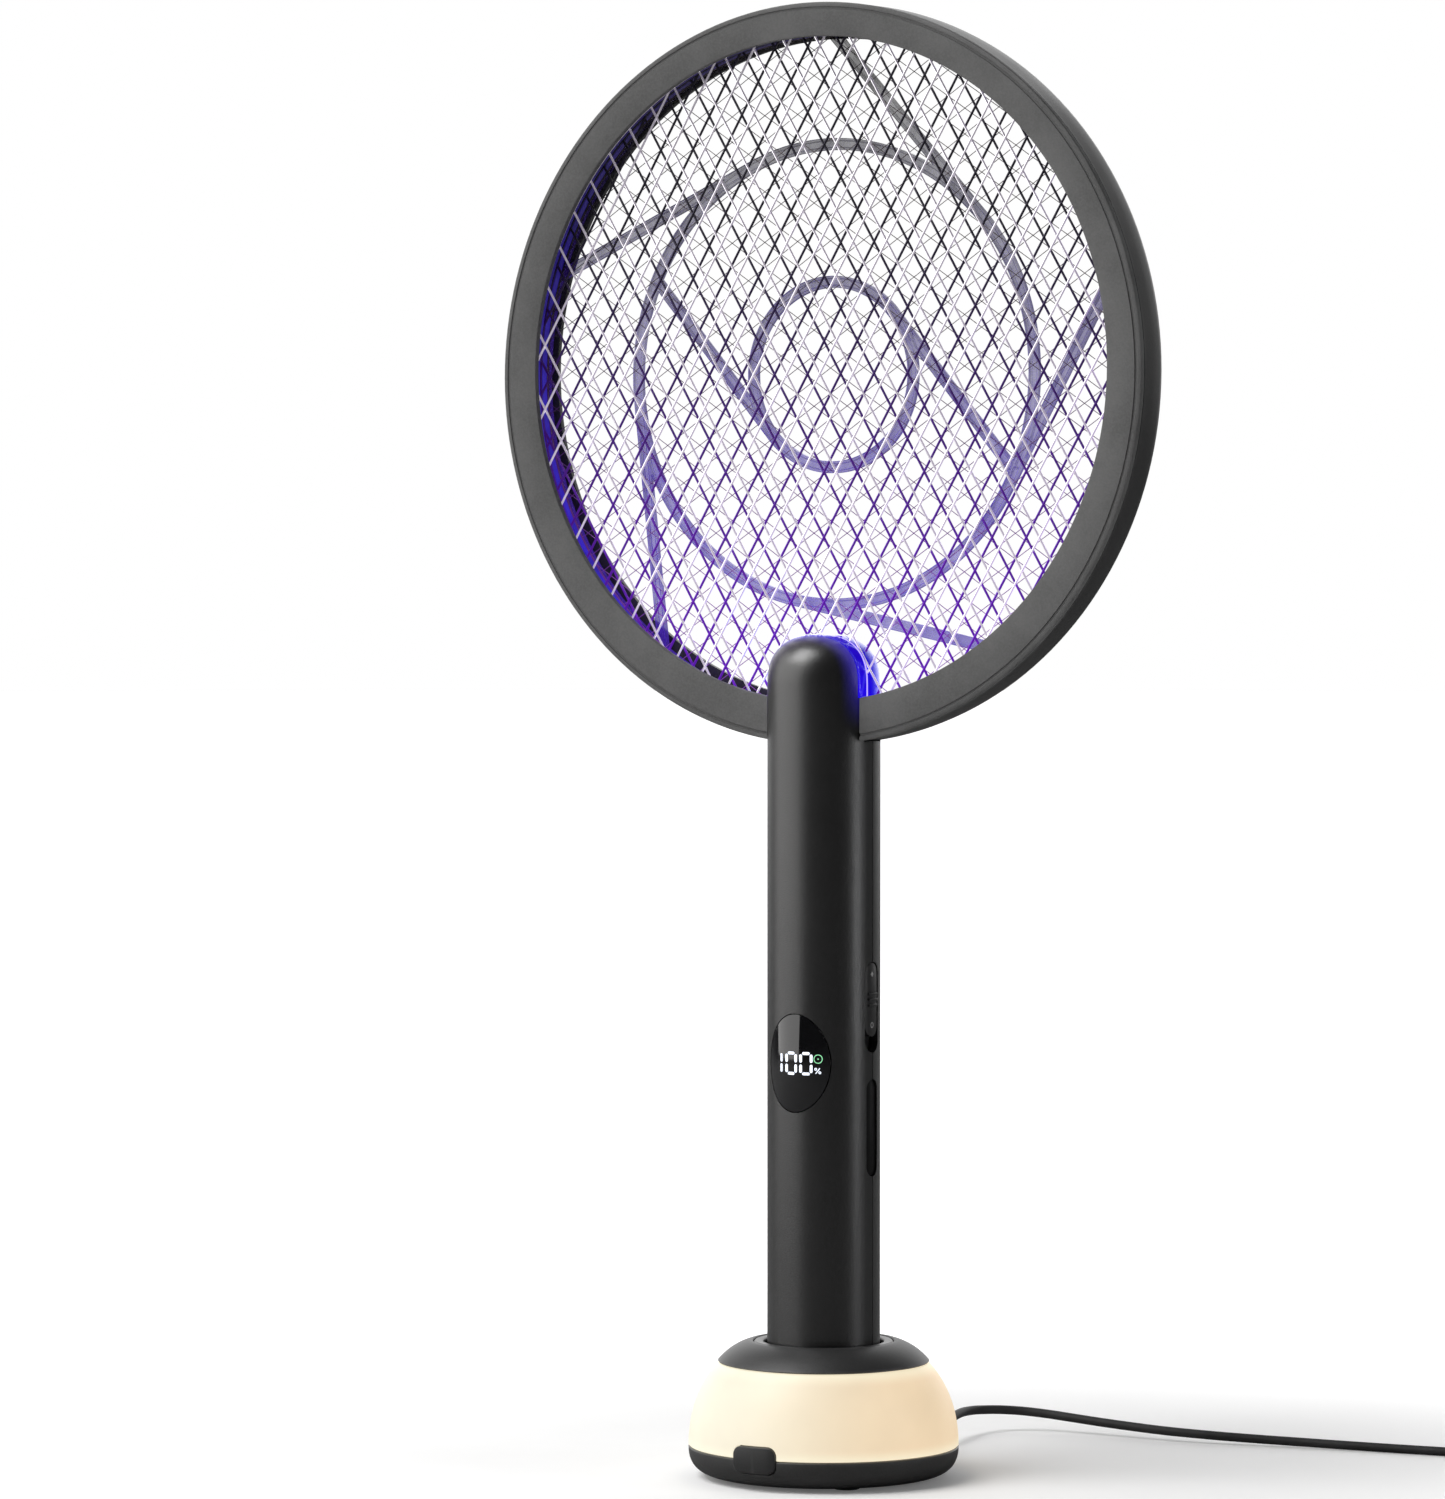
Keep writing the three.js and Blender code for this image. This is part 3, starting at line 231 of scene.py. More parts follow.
# The lamp's lens: deep blue-violet, brighter towards its foot, with a pale line where the front grid's plane meets it.
def lensPlastic():
    material, tree, shader, place = startMaterial("lensViolet")
    parts = addNode(tree, "ShaderNodeSeparateXYZ", {0: place})
    foot = mapRange(tree, parts.outputs["Z"], 0.226, 0.247, 1, 0, smooth=True)
    ripple = noise(tree, place, 260, 3)
    nearLine = mapRange(tree, maths(tree, "ABSOLUTE", maths(tree, "ADD", parts.outputs["Y"], 0.0028)),
                        0.00015, 0.00045, 1, 0, smooth=True)
    body = mixColour(tree, foot, rgb(0.012, 0.0, 0.42), rgb(0.02, 0.0, 0.75))
    tree.links.new(mixColour(tree, nearLine, body, rgb(0.45, 0.35, 1.0)), shader.inputs["Base Color"])
    tree.links.new(mixColour(tree, nearLine, rgb(0.012, 0.0, 1.0), rgb(0.5, 0.42, 1.0)), shader.inputs["Emission Color"])
    lit = maths(tree, "ADD", mapRange(tree, foot, 0, 1, 0.2, 0.62), maths(tree, "MULTIPLY", nearLine, 0.6))
    tree.links.new(maths(tree, "MULTIPLY", lit, mapRange(tree, ripple, 0.3, 0.7, 0.85, 1.1)), shader.inputs["Emission Strength"])
    tree.links.new(mapRange(tree, ripple, 0.3, 0.7, 0.14, 0.26), shader.inputs["Roughness"])
    tree.links.new(bumpFrom(tree, ripple, 0.00004), shader.inputs["Normal"])
    shader.inputs["Coat Weight"].default_value = 0.4
    return material

# Insulating rings round the grids, soaked in the lamp's light.
def insulatorPlastic():
    material, tree, shader, place = startMaterial("insulatorViolet")
    parts = addNode(tree, "ShaderNodeSeparateXYZ", {0: place})
    upper = mapRange(tree, parts.outputs["Z"], 0.25, 0.41, 1, 0, smooth=True)
    side = mapRange(tree, parts.outputs["X"], -0.08, 0.09, 0, 1, smooth=True)
    mottled = noise(tree, place, 120, 5)
    glowColour = mixColour(tree, side, rgb(0.05, 0.02, 0.85), rgb(0.45, 0.04, 0.9))
    tree.links.new(mixColour(tree, mottled, rgb(0.02, 0.015, 0.09), rgb(0.05, 0.03, 0.2)), shader.inputs["Base Color"])
    tree.links.new(glowColour, shader.inputs["Emission Color"])
    tree.links.new(maths(tree, "MULTIPLY", upper, mapRange(tree, mottled, 0.3, 0.7, 0.3, 0.62)), shader.inputs["Emission Strength"])
    tree.links.new(mapRange(tree, mottled, 0.3, 0.7, 0.3, 0.5), shader.inputs["Roughness"])
    tree.links.new(bumpFrom(tree, mottled, 0.0001), shader.inputs["Normal"])
    return material

# Handle plastic, with the lamp's violet spill along the edge of the dome.
def handlePlastic():
    material = plastic("handleSatin", (0.007, 0.007, 0.0073), (0.011, 0.011, 0.0113), 0.33, 0.00045, 0.00005, 0.05, 1.0, 0.0)
    tree = material.node_tree
    shader = tree.nodes["Principled BSDF"]
    coords = addNode(tree, "ShaderNodeTexCoord")
    parts = addNode(tree, "ShaderNodeSeparateXYZ", {0: coords.outputs["Object"]})
    high = mapRange(tree, parts.outputs["Z"], 0.218, 0.243, 0, 1, smooth=True)
    depth = mapRange(tree, maths(tree, "ABSOLUTE", maths(tree, "SUBTRACT", parts.outputs["Y"], 0.001)), 0.0055, 0.0125, 1, 0, smooth=True)
    spill = maths(tree, "MULTIPLY", maths(tree, "MULTIPLY", high, depth), 0.5)
    shader.inputs["Emission Color"].default_value = rgb(0.05, 0.02, 0.9)
    tree.links.new(spill, shader.inputs["Emission Strength"])
    return material

# Opal ring of the base: warm light, whiter where it meets the seams and on the side that the room light reaches.
def opalPlastic():
    material, tree, shader, place = startMaterial("opalLit")
    parts = addNode(tree, "ShaderNodeSeparateXYZ", {0: place})
    along = maths(tree, "ADD", maths(tree, "MULTIPLY", parts.outputs["X"], 0.86), maths(tree, "MULTIPLY", parts.outputs["Y"], 0.51))
    side = mapRange(tree, along, -0.042, 0.03, 0, 1, smooth=True)
    middle = mapRange(tree, maths(tree, "ABSOLUTE", maths(tree, "SUBTRACT", parts.outputs["Z"], 0.0213)), 0.0085, 0.0125, 0, 1, smooth=True)
    cloudy = noise(tree, place, 30, 3)
    warm = mixColour(tree, side, rgb(1.0, 0.94, 0.74), rgb(1.0, 0.76, 0.48))
    glow = mixColour(tree, maths(tree, "MULTIPLY", middle, 0.6), warm, rgb(1.0, 0.95, 0.72))
    tree.links.new(glow, shader.inputs["Emission Color"])
    level = maths(tree, "ADD", mapRange(tree, cloudy, 0.3, 0.7, 0.68, 0.76), maths(tree, "MULTIPLY", middle, 0.1))
    tree.links.new(level, shader.inputs["Emission Strength"])
    tree.links.new(mixColour(tree, cloudy, rgb(0.2, 0.19, 0.17), rgb(0.24, 0.23, 0.2)), shader.inputs["Base Color"])
    fine = noise(tree, place, 2200, 2)
    tree.links.new(mapRange(tree, fine, 0.3, 0.7, 0.42, 0.55), shader.inputs["Roughness"])
    tree.links.new(bumpFrom(tree, fine, 0.00002), shader.inputs["Normal"])
    return material

def glassBlack():
    material, tree, shader, place = startMaterial("displayGloss")
    smears = noise(tree, place, 140, 4)
    tree.links.new(mixColour(tree, smears, rgb(0.002, 0.002, 0.0025), rgb(0.004, 0.004, 0.005)), shader.inputs["Base Color"])
    tree.links.new(mapRange(tree, smears, 0.35, 0.75, 0.04, 0.11), shader.inputs["Roughness"])
    tree.links.new(bumpFrom(tree, smears, 0.00001), shader.inputs["Normal"])
    shader.inputs["Coat Weight"].default_value = 0.6
    return material

def litSegments(name, colour, strength):
    material, tree, shader, place = startMaterial(name)
    uneven = noise(tree, place, 700, 2)
    tree.links.new(mixColour(tree, uneven, rgb(*[c * 0.5 for c in colour]), rgb(*[c * 0.7 for c in colour])), shader.inputs["Base Color"])
    shader.inputs["Emission Color"].default_value = rgb(*colour)
    tree.links.new(mapRange(tree, uneven, 0.3, 0.7, strength * 0.85, strength * 1.1), shader.inputs["Emission Strength"])
    return material

# Circuit board: solder mask with tracks and round pads on a small grid.
def boardMaterial(name, mask, track):
    material, tree, shader, place = startMaterial(name)
    bricks = addNode(tree, "ShaderNodeTexBrick", {
        "Vector": place, "Color1": rgb(*mask), "Color2": rgb(*[c * 0.8 for c in mask]), "Mortar": rgb(*track),
        "Scale": 180, "Mortar Size": 0.03, "Brick Width": 0.9, "Row Height": 0.35})
    cells = addNode(tree, "ShaderNodeTexVoronoi", {"Vector": place, "Scale": 420})
    pads = mapRange(tree, cells.outputs["Distance"], 0.16, 0.22, 1, 0)
    tree.links.new(mixColour(tree, pads, bricks.outputs["Color"], rgb(0.6, 0.6, 0.58)), shader.inputs["Base Color"])
    tree.links.new(mapRange(tree, pads, 0, 1, 0.45, 0.3), shader.inputs["Roughness"])
    tree.links.new(bumpFrom(tree, pads, 0.0001), shader.inputs["Normal"])
    return material

# Wound or wrapped parts: bands of film along Z.
def wrapped(name, colour, bandScale):
    material, tree, shader, place = startMaterial(name)
    bands = addNode(tree, "ShaderNodeTexWave", {"Vector": place, "Scale": bandScale, "Distortion": 1.5, "Detail": 2},
                    bands_direction="Z")
    dark = [c * 0.72 for c in colour]
    tree.links.new(mixColour(tree, bands.outputs["Fac"], rgb(*dark), rgb(*colour)), shader.inputs["Base Color"])
    tree.links.new(mapRange(tree, bands.outputs["Fac"], 0, 1, 0.28, 0.42), shader.inputs["Roughness"])
    tree.links.new(bumpFrom(tree, bands.outputs["Fac"], 0.0001), shader.inputs["Normal"])
    return material

def floorPaper():
    material, tree, shader, place = startMaterial("palePaper")
    fibre = noise(tree, place, 60, 4)
    parts = addNode(tree, "ShaderNodeVectorMath", {0: place}, operation="LENGTH")
    away = mapRange(tree, parts.outputs["Value"], 0.1, 0.5, 0.1, 1.0, smooth=True)
    path = addNode(tree, "ShaderNodeLightPath")
    paper = mixColour(tree, fibre, rgb(0.86, 0.86, 0.86), rgb(0.89, 0.89, 0.89))
    dimmed = mixColour(tree, path.outputs["Is Glossy Ray"], paper, rgb(0.2, 0.2, 0.2))
    tree.links.new(dimmed, shader.inputs["Base Color"])
    shader.inputs["Roughness"].default_value = 0.9
    shader.inputs["Specular IOR Level"].default_value = 0.1
    shader.inputs["Emission Color"].default_value = rgb(1, 1, 1)
    tree.links.new(maths(tree, "MULTIPLY", away, path.outputs["Is Camera Ray"]), shader.inputs["Emission Strength"])
    return material

materials = {
    "frame": plastic("frameGrey", (0.072, 0.072, 0.072), (0.083, 0.083, 0.083), 0.55, 0.0006, 0.00004, 0.04, 0.3),
    "headShell": plastic("headSatin", (0.022, 0.022, 0.0225), (0.03, 0.03, 0.0305), 0.42, 0.0005, 0.00004),
    "handle": handlePlastic(),
    "controls": plastic("controlBlack", (0.012, 0.012, 0.0125), (0.018, 0.018, 0.0185), 0.4, 0.0004, 0.00003),
    "zapBar": plastic("zapBlack", (0.002, 0.002, 0.0022), (0.004, 0.004, 0.0043), 0.55, 0.0004, 0.00003, 0.05, 0.15),
    "base": plastic("baseCharcoal", (0.024, 0.024, 0.0245), (0.032, 0.032, 0.0325), 0.48, 0.0005, 0.00004),
    # Front wires: their near-white glow is painted sheen as well as painted lamp light, strongest low on the head.
    "frontWire": litMetal("wireBright", (0.9, 0.9, 0.92), 0.2, (0.92, 0.82, 1.0), 0.55, 0.18, 0.6, 0.15),
    "liveWire": litMetal("wireLive", (0.07, 0.065, 0.085), 0.42, (0.16, 0.02, 0.52), 0.5, 0.222, 0.38, 0.8),
    "rearWire": litMetal("wireRear", (0.13, 0.105, 0.11), 0.45, (0.3, 0.08, 0.5), 0.4, 0.222, 0.36, 0.6),
    "guard": guardPlastic(),
    "lens": lensPlastic(),
    "insulator": insulatorPlastic(),
    "opal": opalPlastic(),
    "gloss": glassBlack(),
    "digits": litSegments("digitGlow", (0.82, 0.88, 1.0), 1.0),
    "icon": litSegments("iconGlow", (0.35, 0.95, 0.5), 0.6),
    "mark": plastic("markGrey", (0.2, 0.2, 0.2), (0.26, 0.26, 0.26), 0.6),
    "steel": metal("steelPlated", (0.56, 0.57, 0.6), 0.3),
    "gold": metal("goldPlated", (0.78, 0.56, 0.22), 0.25),
    "board": boardMaterial("boardGreen", (0.015, 0.11, 0.045), (0.05, 0.2, 0.08)),
    "lampBoard": boardMaterial("boardWhite", (0.75, 0.75, 0.72), (0.55, 0.5, 0.4)),
    "component": plastic("componentBlack", (0.012, 0.012, 0.013), (0.02, 0.02, 0.021), 0.55, 0.0003, 0.00003),
    "led": litSegments("ledWarm", (1.0, 0.85, 0.6), 1.5),
    "uvLed": litSegments("ledViolet", (0.25, 0.1, 1.0), 3.0),
    "cell": wrapped("cellSleeve", (0.03, 0.14, 0.42), 25),
    "film": wrapped("filmTape", (0.72, 0.42, 0.03), 90),
    "rubber": plastic("rubberSoft", (0.012, 0.012, 0.0125), (0.018, 0.018, 0.019), 0.6, 0.0003, 0.00002, 0.05, 0.4),
}

addCamera()
addWorld()
addLights()
bpy.context.scene.view_settings.view_transform = "Standard"
print("camera, lights and materials ready")

# ---- shaping, in millimetres until a piece is finished ----

def boxOf(name):
    low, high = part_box(name)
    return low / mm, high / mm

def placeOf(name):
    low, high = boxOf(name)
    return (low + high) / 2

standOnY = Matrix.Rotation(math.radians(-90), 3, "X")  # turns +Z into +Y

def circleArc(first, control, last, steps):
    points = []
    for index in range(steps + 1):
        t = index / steps
        near = Vector(first).lerp(Vector(control), t)
        points.append(tuple(near.lerp(Vector(control).lerp(Vector(last), t), t)))
    return points

# Outline with each corner eased; a corner may carry its own size as a third number.
def eased(corners, size, steps=3):
    points = []
    for index, corner in enumerate(corners):
        place = Vector(corner[:2])
        own = corner[2] if len(corner) > 2 else size
        if own == 0:
            points.append(tuple(place))
            continue
        before = Vector(corners[index - 1][:2]) - place
        after = Vector(corners[(index + 1) % len(corners)][:2]) - place
        start = place + before.normalized() * min(own, before.length * 0.45)
        end = place + after.normalized() * min(own, after.length * 0.45)
        points += circleArc(start, place, end, steps)
    return points

def tidied(shape):
    bmesh.ops.remove_doubles(shape, verts=shape.verts, dist=0.002)
    bmesh.ops.recalc_face_normals(shape, faces=shape.faces)
    return shape

# A section of (radius, height) points turned about Z; an open one starts and ends on the axis.
def spun(outline, steps=96, closed=True, alongY=False, centre=(0, 0, 0)):
    shape = bmesh.new()
    verts = [shape.verts.new((radius, 0, height)) for radius, height in outline]
    edges = [shape.edges.new(pair) for pair in zip(verts, verts[1:])]
    if closed:
        edges.append(shape.edges.new((verts[-1], verts[0])))
    bmesh.ops.spin(shape, geom=verts + edges, cent=(0, 0, 0), axis=(0, 0, 1), dvec=(0, 0, 0),
                   angle=math.tau, steps=steps, use_merge=True, use_duplicate=False)
    if alongY:
        bmesh.ops.rotate(shape, cent=(0, 0, 0), matrix=standOnY, verts=shape.verts)
    bmesh.ops.translate(shape, vec=centre, verts=shape.verts)
    return tidied(shape)

def thicken(shape, face, way):
    grown = bmesh.ops.extrude_face_region(shape, geom=[face])["geom"]
    moved = [item for item in grown if isinstance(item, bmesh.types.BMVert)]
    bmesh.ops.translate(shape, vec=way, verts=moved)
    return tidied(shape)

# Rounded plate across an axis: size (width, height) about a centre in its own plane, from low to high along the axis.
def plate(axis, low, high, size, corner=0.0, centre=(0, 0), steps=8):
    spots = {"X": lambda u, v: (low, u, v), "Y": lambda u, v: (u, low, v), "Z": lambda u, v: (u, v, low)}
    ways = {"X": (high - low, 0, 0), "Y": (0, high - low, 0), "Z": (0, 0, high - low)}
    shape = bmesh.new()
    half = Vector(size) / 2
    signs = ((-1, -1), (1, -1), (1, 1), (-1, 1))
    verts = [shape.verts.new(spots[axis](centre[0] + a * half.x, centre[1] + b * half.y)) for a, b in signs]
    shape.faces.new(verts)
    if corner:
        bmesh.ops.bevel(shape, geom=verts, offset=min(corner, half.x - 0.01, half.y - 0.01), offset_type="OFFSET",
                        segments=steps, profile=0.5, affect="VERTICES", material=-1)
    shape.faces.ensure_lookup_table()
    return thicken(shape, shape.faces[0], ways[axis])

def block(low, high):
    middle = (Vector(low) + Vector(high)) / 2
    size = Vector(high) - Vector(low)
    return plate("Z", low[2], high[2], (size.x, size.y), 0, (middle.x, middle.y))

def rod(axis, radius, low, high, centre=(0, 0), segments=32):
    shape = bmesh.new()
    turn = {"X": Matrix.Rotation(math.radians(90), 3, "Y"), "Y": standOnY, "Z": Matrix.Identity(3)}[axis]
    middle = (low + high) / 2
    spot = {"X": (middle, *centre), "Y": (centre[0], middle, centre[1]), "Z": (*centre, middle)}[axis]
    verts = bmesh.ops.create_cone(shape, cap_ends=True, segments=segments, radius1=radius, radius2=radius,
                                  depth=high - low)["verts"]
    bmesh.ops.rotate(shape, cent=(0, 0, 0), matrix=turn, verts=verts)
    bmesh.ops.translate(shape, vec=spot, verts=verts)
    return tidied(shape)

def soften(shape, offset, test, segments=2):
    edges = [edge for edge in shape.edges if test(edge)]
    bmesh.ops.bevel(shape, geom=edges, offset=offset, offset_type="OFFSET", segments=segments, profile=0.5,
                    affect="EDGES", material=-1, clamp_overlap=True)
    return shape

def softenSharp(shape, offset, angle=40, segments=2):
    limit = math.radians(angle)
    return soften(shape, offset, lambda edge: edge.is_manifold and edge.calc_face_angle() > limit, segments)

def asObject(shape, name):
    data = bpy.data.meshes.new(name)
    shape.to_mesh(data)
    shape.free()
    made = bpy.data.objects.new(name, data)
    bpy.context.collection.objects.link(made)
    return made

# Cuts, joins or keeps the common part of shapes, one tool after another.
def carved(shape, tools, operation="DIFFERENCE"):
    target = asObject(shape, "target")
    helpers = []
    for tool in tools:
        helper = asObject(tool, "tool")
        modifier = target.modifiers.new("carve", "BOOLEAN")
        modifier.operation = operation
        modifier.solver = "EXACT"
        modifier.object = helper
        helpers.append(helper)
    solidTarget = target.evaluated_get(bpy.context.evaluated_depsgraph_get())
    result = bmesh.new()
    result.from_mesh(solidTarget.to_mesh())
    solidTarget.to_mesh_clear()
    for item in [target, *helpers]:
        data = item.data
        bpy.data.objects.remove(item)
        bpy.data.meshes.remove(data)
    return tidied(result)

def joined(shapes):
    return carved(shapes[0], shapes[1:], "UNION")

def gathered(shapes):
    whole = shapes[0]
    for shape in shapes[1:]:
        data = bpy.data.meshes.new("gather")
        shape.to_mesh(data)
        shape.free()
        whole.from_mesh(data)
        bpy.data.meshes.remove(data)
    return whole

def addPiece(name, shape, material, body, nodes=(), sharp=35):
    tidied(shape)
    bmesh.ops.scale(shape, vec=(mm, mm, mm), verts=shape.verts)
    made = asObject(shape, name)
    made.data.shade_smooth()
    made.data.set_sharp_from_angle(angle=math.radians(sharp))
    made.data.materials.append(materials[material])
    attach(made, body)
    if nodes:
        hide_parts(*nodes)
    return made

# ---- floor ----

def addFloor():
    shape = bmesh.new()
    bmesh.ops.create_circle(shape, cap_ends=True, segments=128, radius=9)
    floor = asObject(shape, "studioFloor")
    floor.data.materials.append(floorPaper())

addFloor()

# ---- shared outline of the handle, its dome and the lens ----

gap = 0.3
frontLow, frontHigh = boxOf("handle_front_shell")
lensLow, lensHigh = boxOf("uv_lens")
handle = {"radius": frontHigh.x, "wall": 2, "bottom": frontLow.z, "top": lensHigh.z, "domeHeight": 14.6,
          "domeSquareness": 2.5, "domeSteps": 14, "around": 112}
domeSpring = handle["top"] - handle["domeHeight"]

def columnOutline(radius, bottom, rise):
    points = [(0, bottom), (radius, bottom)]
    for index in range(handle["domeSteps"] + 1):
        angle = index / handle["domeSteps"] * math.pi / 2
        across = radius * max(math.cos(angle), 0) ** (2 / handle["domeSquareness"])
        up = rise * math.sin(angle) ** (2 / handle["domeSquareness"])
        points.append((across if index < handle["domeSteps"] else 0, domeSpring + up))
    return points

def column(grow=0.0, bottom=None):
    return spun(columnOutline(handle["radius"] + grow, handle["bottom"] if bottom is None else bottom,
                              handle["domeHeight"] + grow), handle["around"], closed=False)

far = 200

# ---- head ----

ringLow, ringHigh = boxOf("front_trim_ring")
shellLow, shellHigh = boxOf("head_shell")
head = {"radius": shellHigh.x, "centreZ": shellHigh.z - shellHigh.x, "faceWidth": 11.15, "openingLift": 1.3,
        "faceY": ringLow.y, "rearY": shellHigh.y, "rimInner": 98.2, "rimOuter": 104.6, "seat": 105.4,
        "neckHalfWidth": 12.5, "grooveIn": 2.2, "grooveWidth": 0.9, "grooveDepth": 0.28}
openingRadius = head["radius"] - head["faceWidth"]
openingZ = head["centreZ"] + head["openingLift"]

def openingDisc(low, high, grow=0.0):
    return rod("Y", openingRadius + grow, low, high, (0, openingZ), 180)

# Ring about the head's centre; what lies at its inner edge moves up onto the opening's own centre.
def headRing(section):
    ring = spun(section, 180, alongY=True, centre=(0, 0, head["centreZ"]))
    inner = [vert for vert in ring.verts
             if math.hypot(vert.co.x, vert.co.z - head["centreZ"]) < openingRadius + 0.6]
    bmesh.ops.translate(ring, vec=(0, 0, head["openingLift"]), verts=inner)
    return ring

def addTrimRing():
    outer, centre, front = head["radius"], head["centreZ"], head["faceY"]
    back, lipBack = front + 1.8, ringHigh.y
    groove = outer - head["grooveIn"]
    edge = groove + head["grooveWidth"]
    deep = front + head["grooveDepth"]
    section = [
        (openingRadius, back), (openingRadius, front + 0.35), (openingRadius + 0.1, front + 0.1),
        (openingRadius + 0.35, front), (groove, front), (groove + 0.2, deep), (edge - 0.2, deep), (edge, front),
        (outer - 0.55, front), (outer - 0.16, front + 0.16), (outer, front + 0.55), (outer, back),
        (head["seat"] - gap, back), (head["seat"] - gap, lipBack), (head["rimInner"], lipBack), (head["rimInner"], back)]
    ring = carved(headRing(section), [column(gap, 180)])
    addPiece("trimRing", ring, "frame", "swatter", ["front_trim_ring"])

def addHeadShell():
    outer, centre, rear = head["radius"], head["centreZ"], head["rearY"]
    front, plateFront = shellLow.y, rear - 1.9
    section = [
        (outer - 0.5, front), (outer - 0.2, front + 0.3), (outer - 0.17, front + 1.6), (outer, front + 4.6),
        (outer, rear - 3.4), (outer - 0.3, rear - 1.6), (outer - 0.7, rear - 0.85), (outer - 1.3, rear - 0.4),
        (outer - 2.9, rear), (openingRadius + 0.5, rear), (openingRadius + 0.12, rear - 0.15),
        (openingRadius, rear - 0.5), (openingRadius, plateFront), (head["seat"], plateFront), (head["seat"], front)]
    neckLow = centre - outer + 1
    neck = block((-head["neckHalfWidth"], front, neckLow), (head["neckHalfWidth"], plateFront + 0.4, neckLow + 14))
    shell = joined([headRing(section), neck])
    holes = [rod("Y", 1.5, -far, far, (side * 8, placeOf("neck_screw_left").z), 24) for side in (-1, 1)]
    shell = carved(shell, [openingDisc(-far, far), *holes])
    addPiece("headShell", shell, "headShell", "swatter", ["head_shell"])

def headWasher(low, high, name, material, nodes):
    corners = [(head["rimInner"], low), (head["rimOuter"], low), (head["rimOuter"], high), (head["rimInner"], high)]
    ring = spun(eased(corners, 0.2, 2), 180, alongY=True, centre=(0, 0, head["centreZ"]))
    addPiece(name, carved(ring, [column(gap, 180)]), material, "swatter", nodes)

grids = {
    "sides": 8,
    "front": {"node": "front_grid", "radius": 0.34, "phase": 0.0, "material": "frontWire", "weave": 0.14,
              "diamond": (11.2, 19.0)},
    "live": {"node": "high_voltage_grid", "radius": 0.37, "phase": 0.5, "material": "liveWire", "weave": 0.1,
             "diamond": (11.2, 19.0)},
    "rear": {"node": "rear_grid", "radius": 0.12, "phase": 0.25, "material": "rearWire", "weave": 0.1,
             "diamond": (11.2, 7.4)},
}

# Two families of parallel wires crossing as diamonds, held in a flat rim. Wires that would run into the lens stop at it.
def addGrid(spec, name):
    low, high = boxOf(spec["node"])
    width, height = spec["diamond"]
    slope = math.atan2(height, width)
    spacing = width * math.sin(slope)
    reach = head["rimInner"] + 1
    count = int(reach / spacing) + 1
    parts = []
    for side in (-1, 1):
        y = (low.y + high.y) / 2 + side * spec["weave"]
        family = []
        for step in range(-count, count + 1):
            offset = (step + spec["phase"]) * spacing
            if abs(offset) > reach - 3:
                continue
            half = math.sqrt(reach * reach - offset * offset)
            family.append(rod("X", spec["radius"], -half, half, (0, offset), grids["sides"]))
        family = gathered(family)
        bmesh.ops.rotate(family, cent=(0, 0, 0), matrix=Matrix.Rotation(side * slope, 3, "Y"), verts=family.verts)
        bmesh.ops.translate(family, vec=(0, y, head["centreZ"]), verts=family.verts)
        parts.append(carved(family, [column(gap, 180)]))
    corners = [(head["rimInner"], low.y), (head["rimOuter"], low.y), (head["rimOuter"], high.y), (head["rimInner"], high.y)]
    rim = spun(eased(corners, 0.15, 2), 180, alongY=True, centre=(0, 0, head["centreZ"]))
    parts.append(carved(rim, [column(gap, 180)]))
    addPiece(name, gathered(parts), spec["material"], "swatter", [spec["node"]])

guard = {"middle": 67.0, "inner": 27.0, "rib": 3.5, "spokes": 5, "innerSpokeAngle": 41, "edge": 0.2, "lip": 0.75,
         "channel": 0.5}

def polar(radius, angle):
    return Vector((radius * math.cos(angle), radius * math.sin(angle)))

def guardRib(start, end, low, high):
    along = end - start
    rib = block((-along.length / 2, low, -guard["rib"] / 2), (along.length / 2, high, guard["rib"] / 2))
    softenSharp(rib, guard["edge"])
    across = guard["rib"] / 2 - guard["lip"]
    channels = [block((-far, y - guard["channel"], -across), (far, y + guard["channel"], across)) for y in (low, high)]
    rib = carved(rib, channels)
    middle = (start + end) / 2
    bmesh.ops.rotate(rib, cent=(0, 0, 0), matrix=Matrix.Rotation(-math.atan2(along.y, along.x), 3, "Y"), verts=rib.verts)
    bmesh.ops.translate(rib, vec=(middle.x, 0, head["centreZ"] + middle.y), verts=rib.verts)
    return rib

def guardRing(inner, outer, low, high):
    lip, deep = guard["lip"], guard["channel"]
    corners = [(inner, low), (inner + lip, low), (inner + lip, low + deep), (outer - lip, low + deep), (outer - lip, low),
               (outer, low), (outer, high), (outer - lip, high), (outer - lip, high - deep), (inner + lip, high - deep),
               (inner + lip, high), (inner, high)]
    return spun(eased(corners, guard["edge"], 1), 180, alongY=True, centre=(0, 0, head["centreZ"]))

def addRearGuard():
    low, high = boxOf("rear_guard")
    low, high = low.y, high.y
    half = guard["rib"] / 2
    parts = [guardRing(head["rimInner"], head["rimOuter"], low, high)]
    parts += [guardRing(radius - half, radius + half, low, high) for radius in (guard["middle"], guard["inner"])]
    for index in range(guard["spokes"]):
        start = math.pi / 2 + index * math.tau / guard["spokes"]
        sweep = math.acos(guard["middle"] / (head["rimInner"] + 1))
        parts.append(guardRib(polar(head["rimInner"] + 1, start), polar(guard["middle"], start - sweep), low + 0.08, high - 0.08))
    for turn in (0, math.pi):
        touch = math.radians(guard["innerSpokeAngle"]) + turn
        sweep = math.acos(guard["inner"] / guard["middle"])
        parts.append(guardRib(polar(guard["middle"], touch - sweep), polar(guard["inner"], touch), low + 0.08, high - 0.08))
    whole = carved(joined(parts), [column(gap, 180)])
    addPiece("rearGuard", whole, "guard", "swatter", ["rear_guard"])

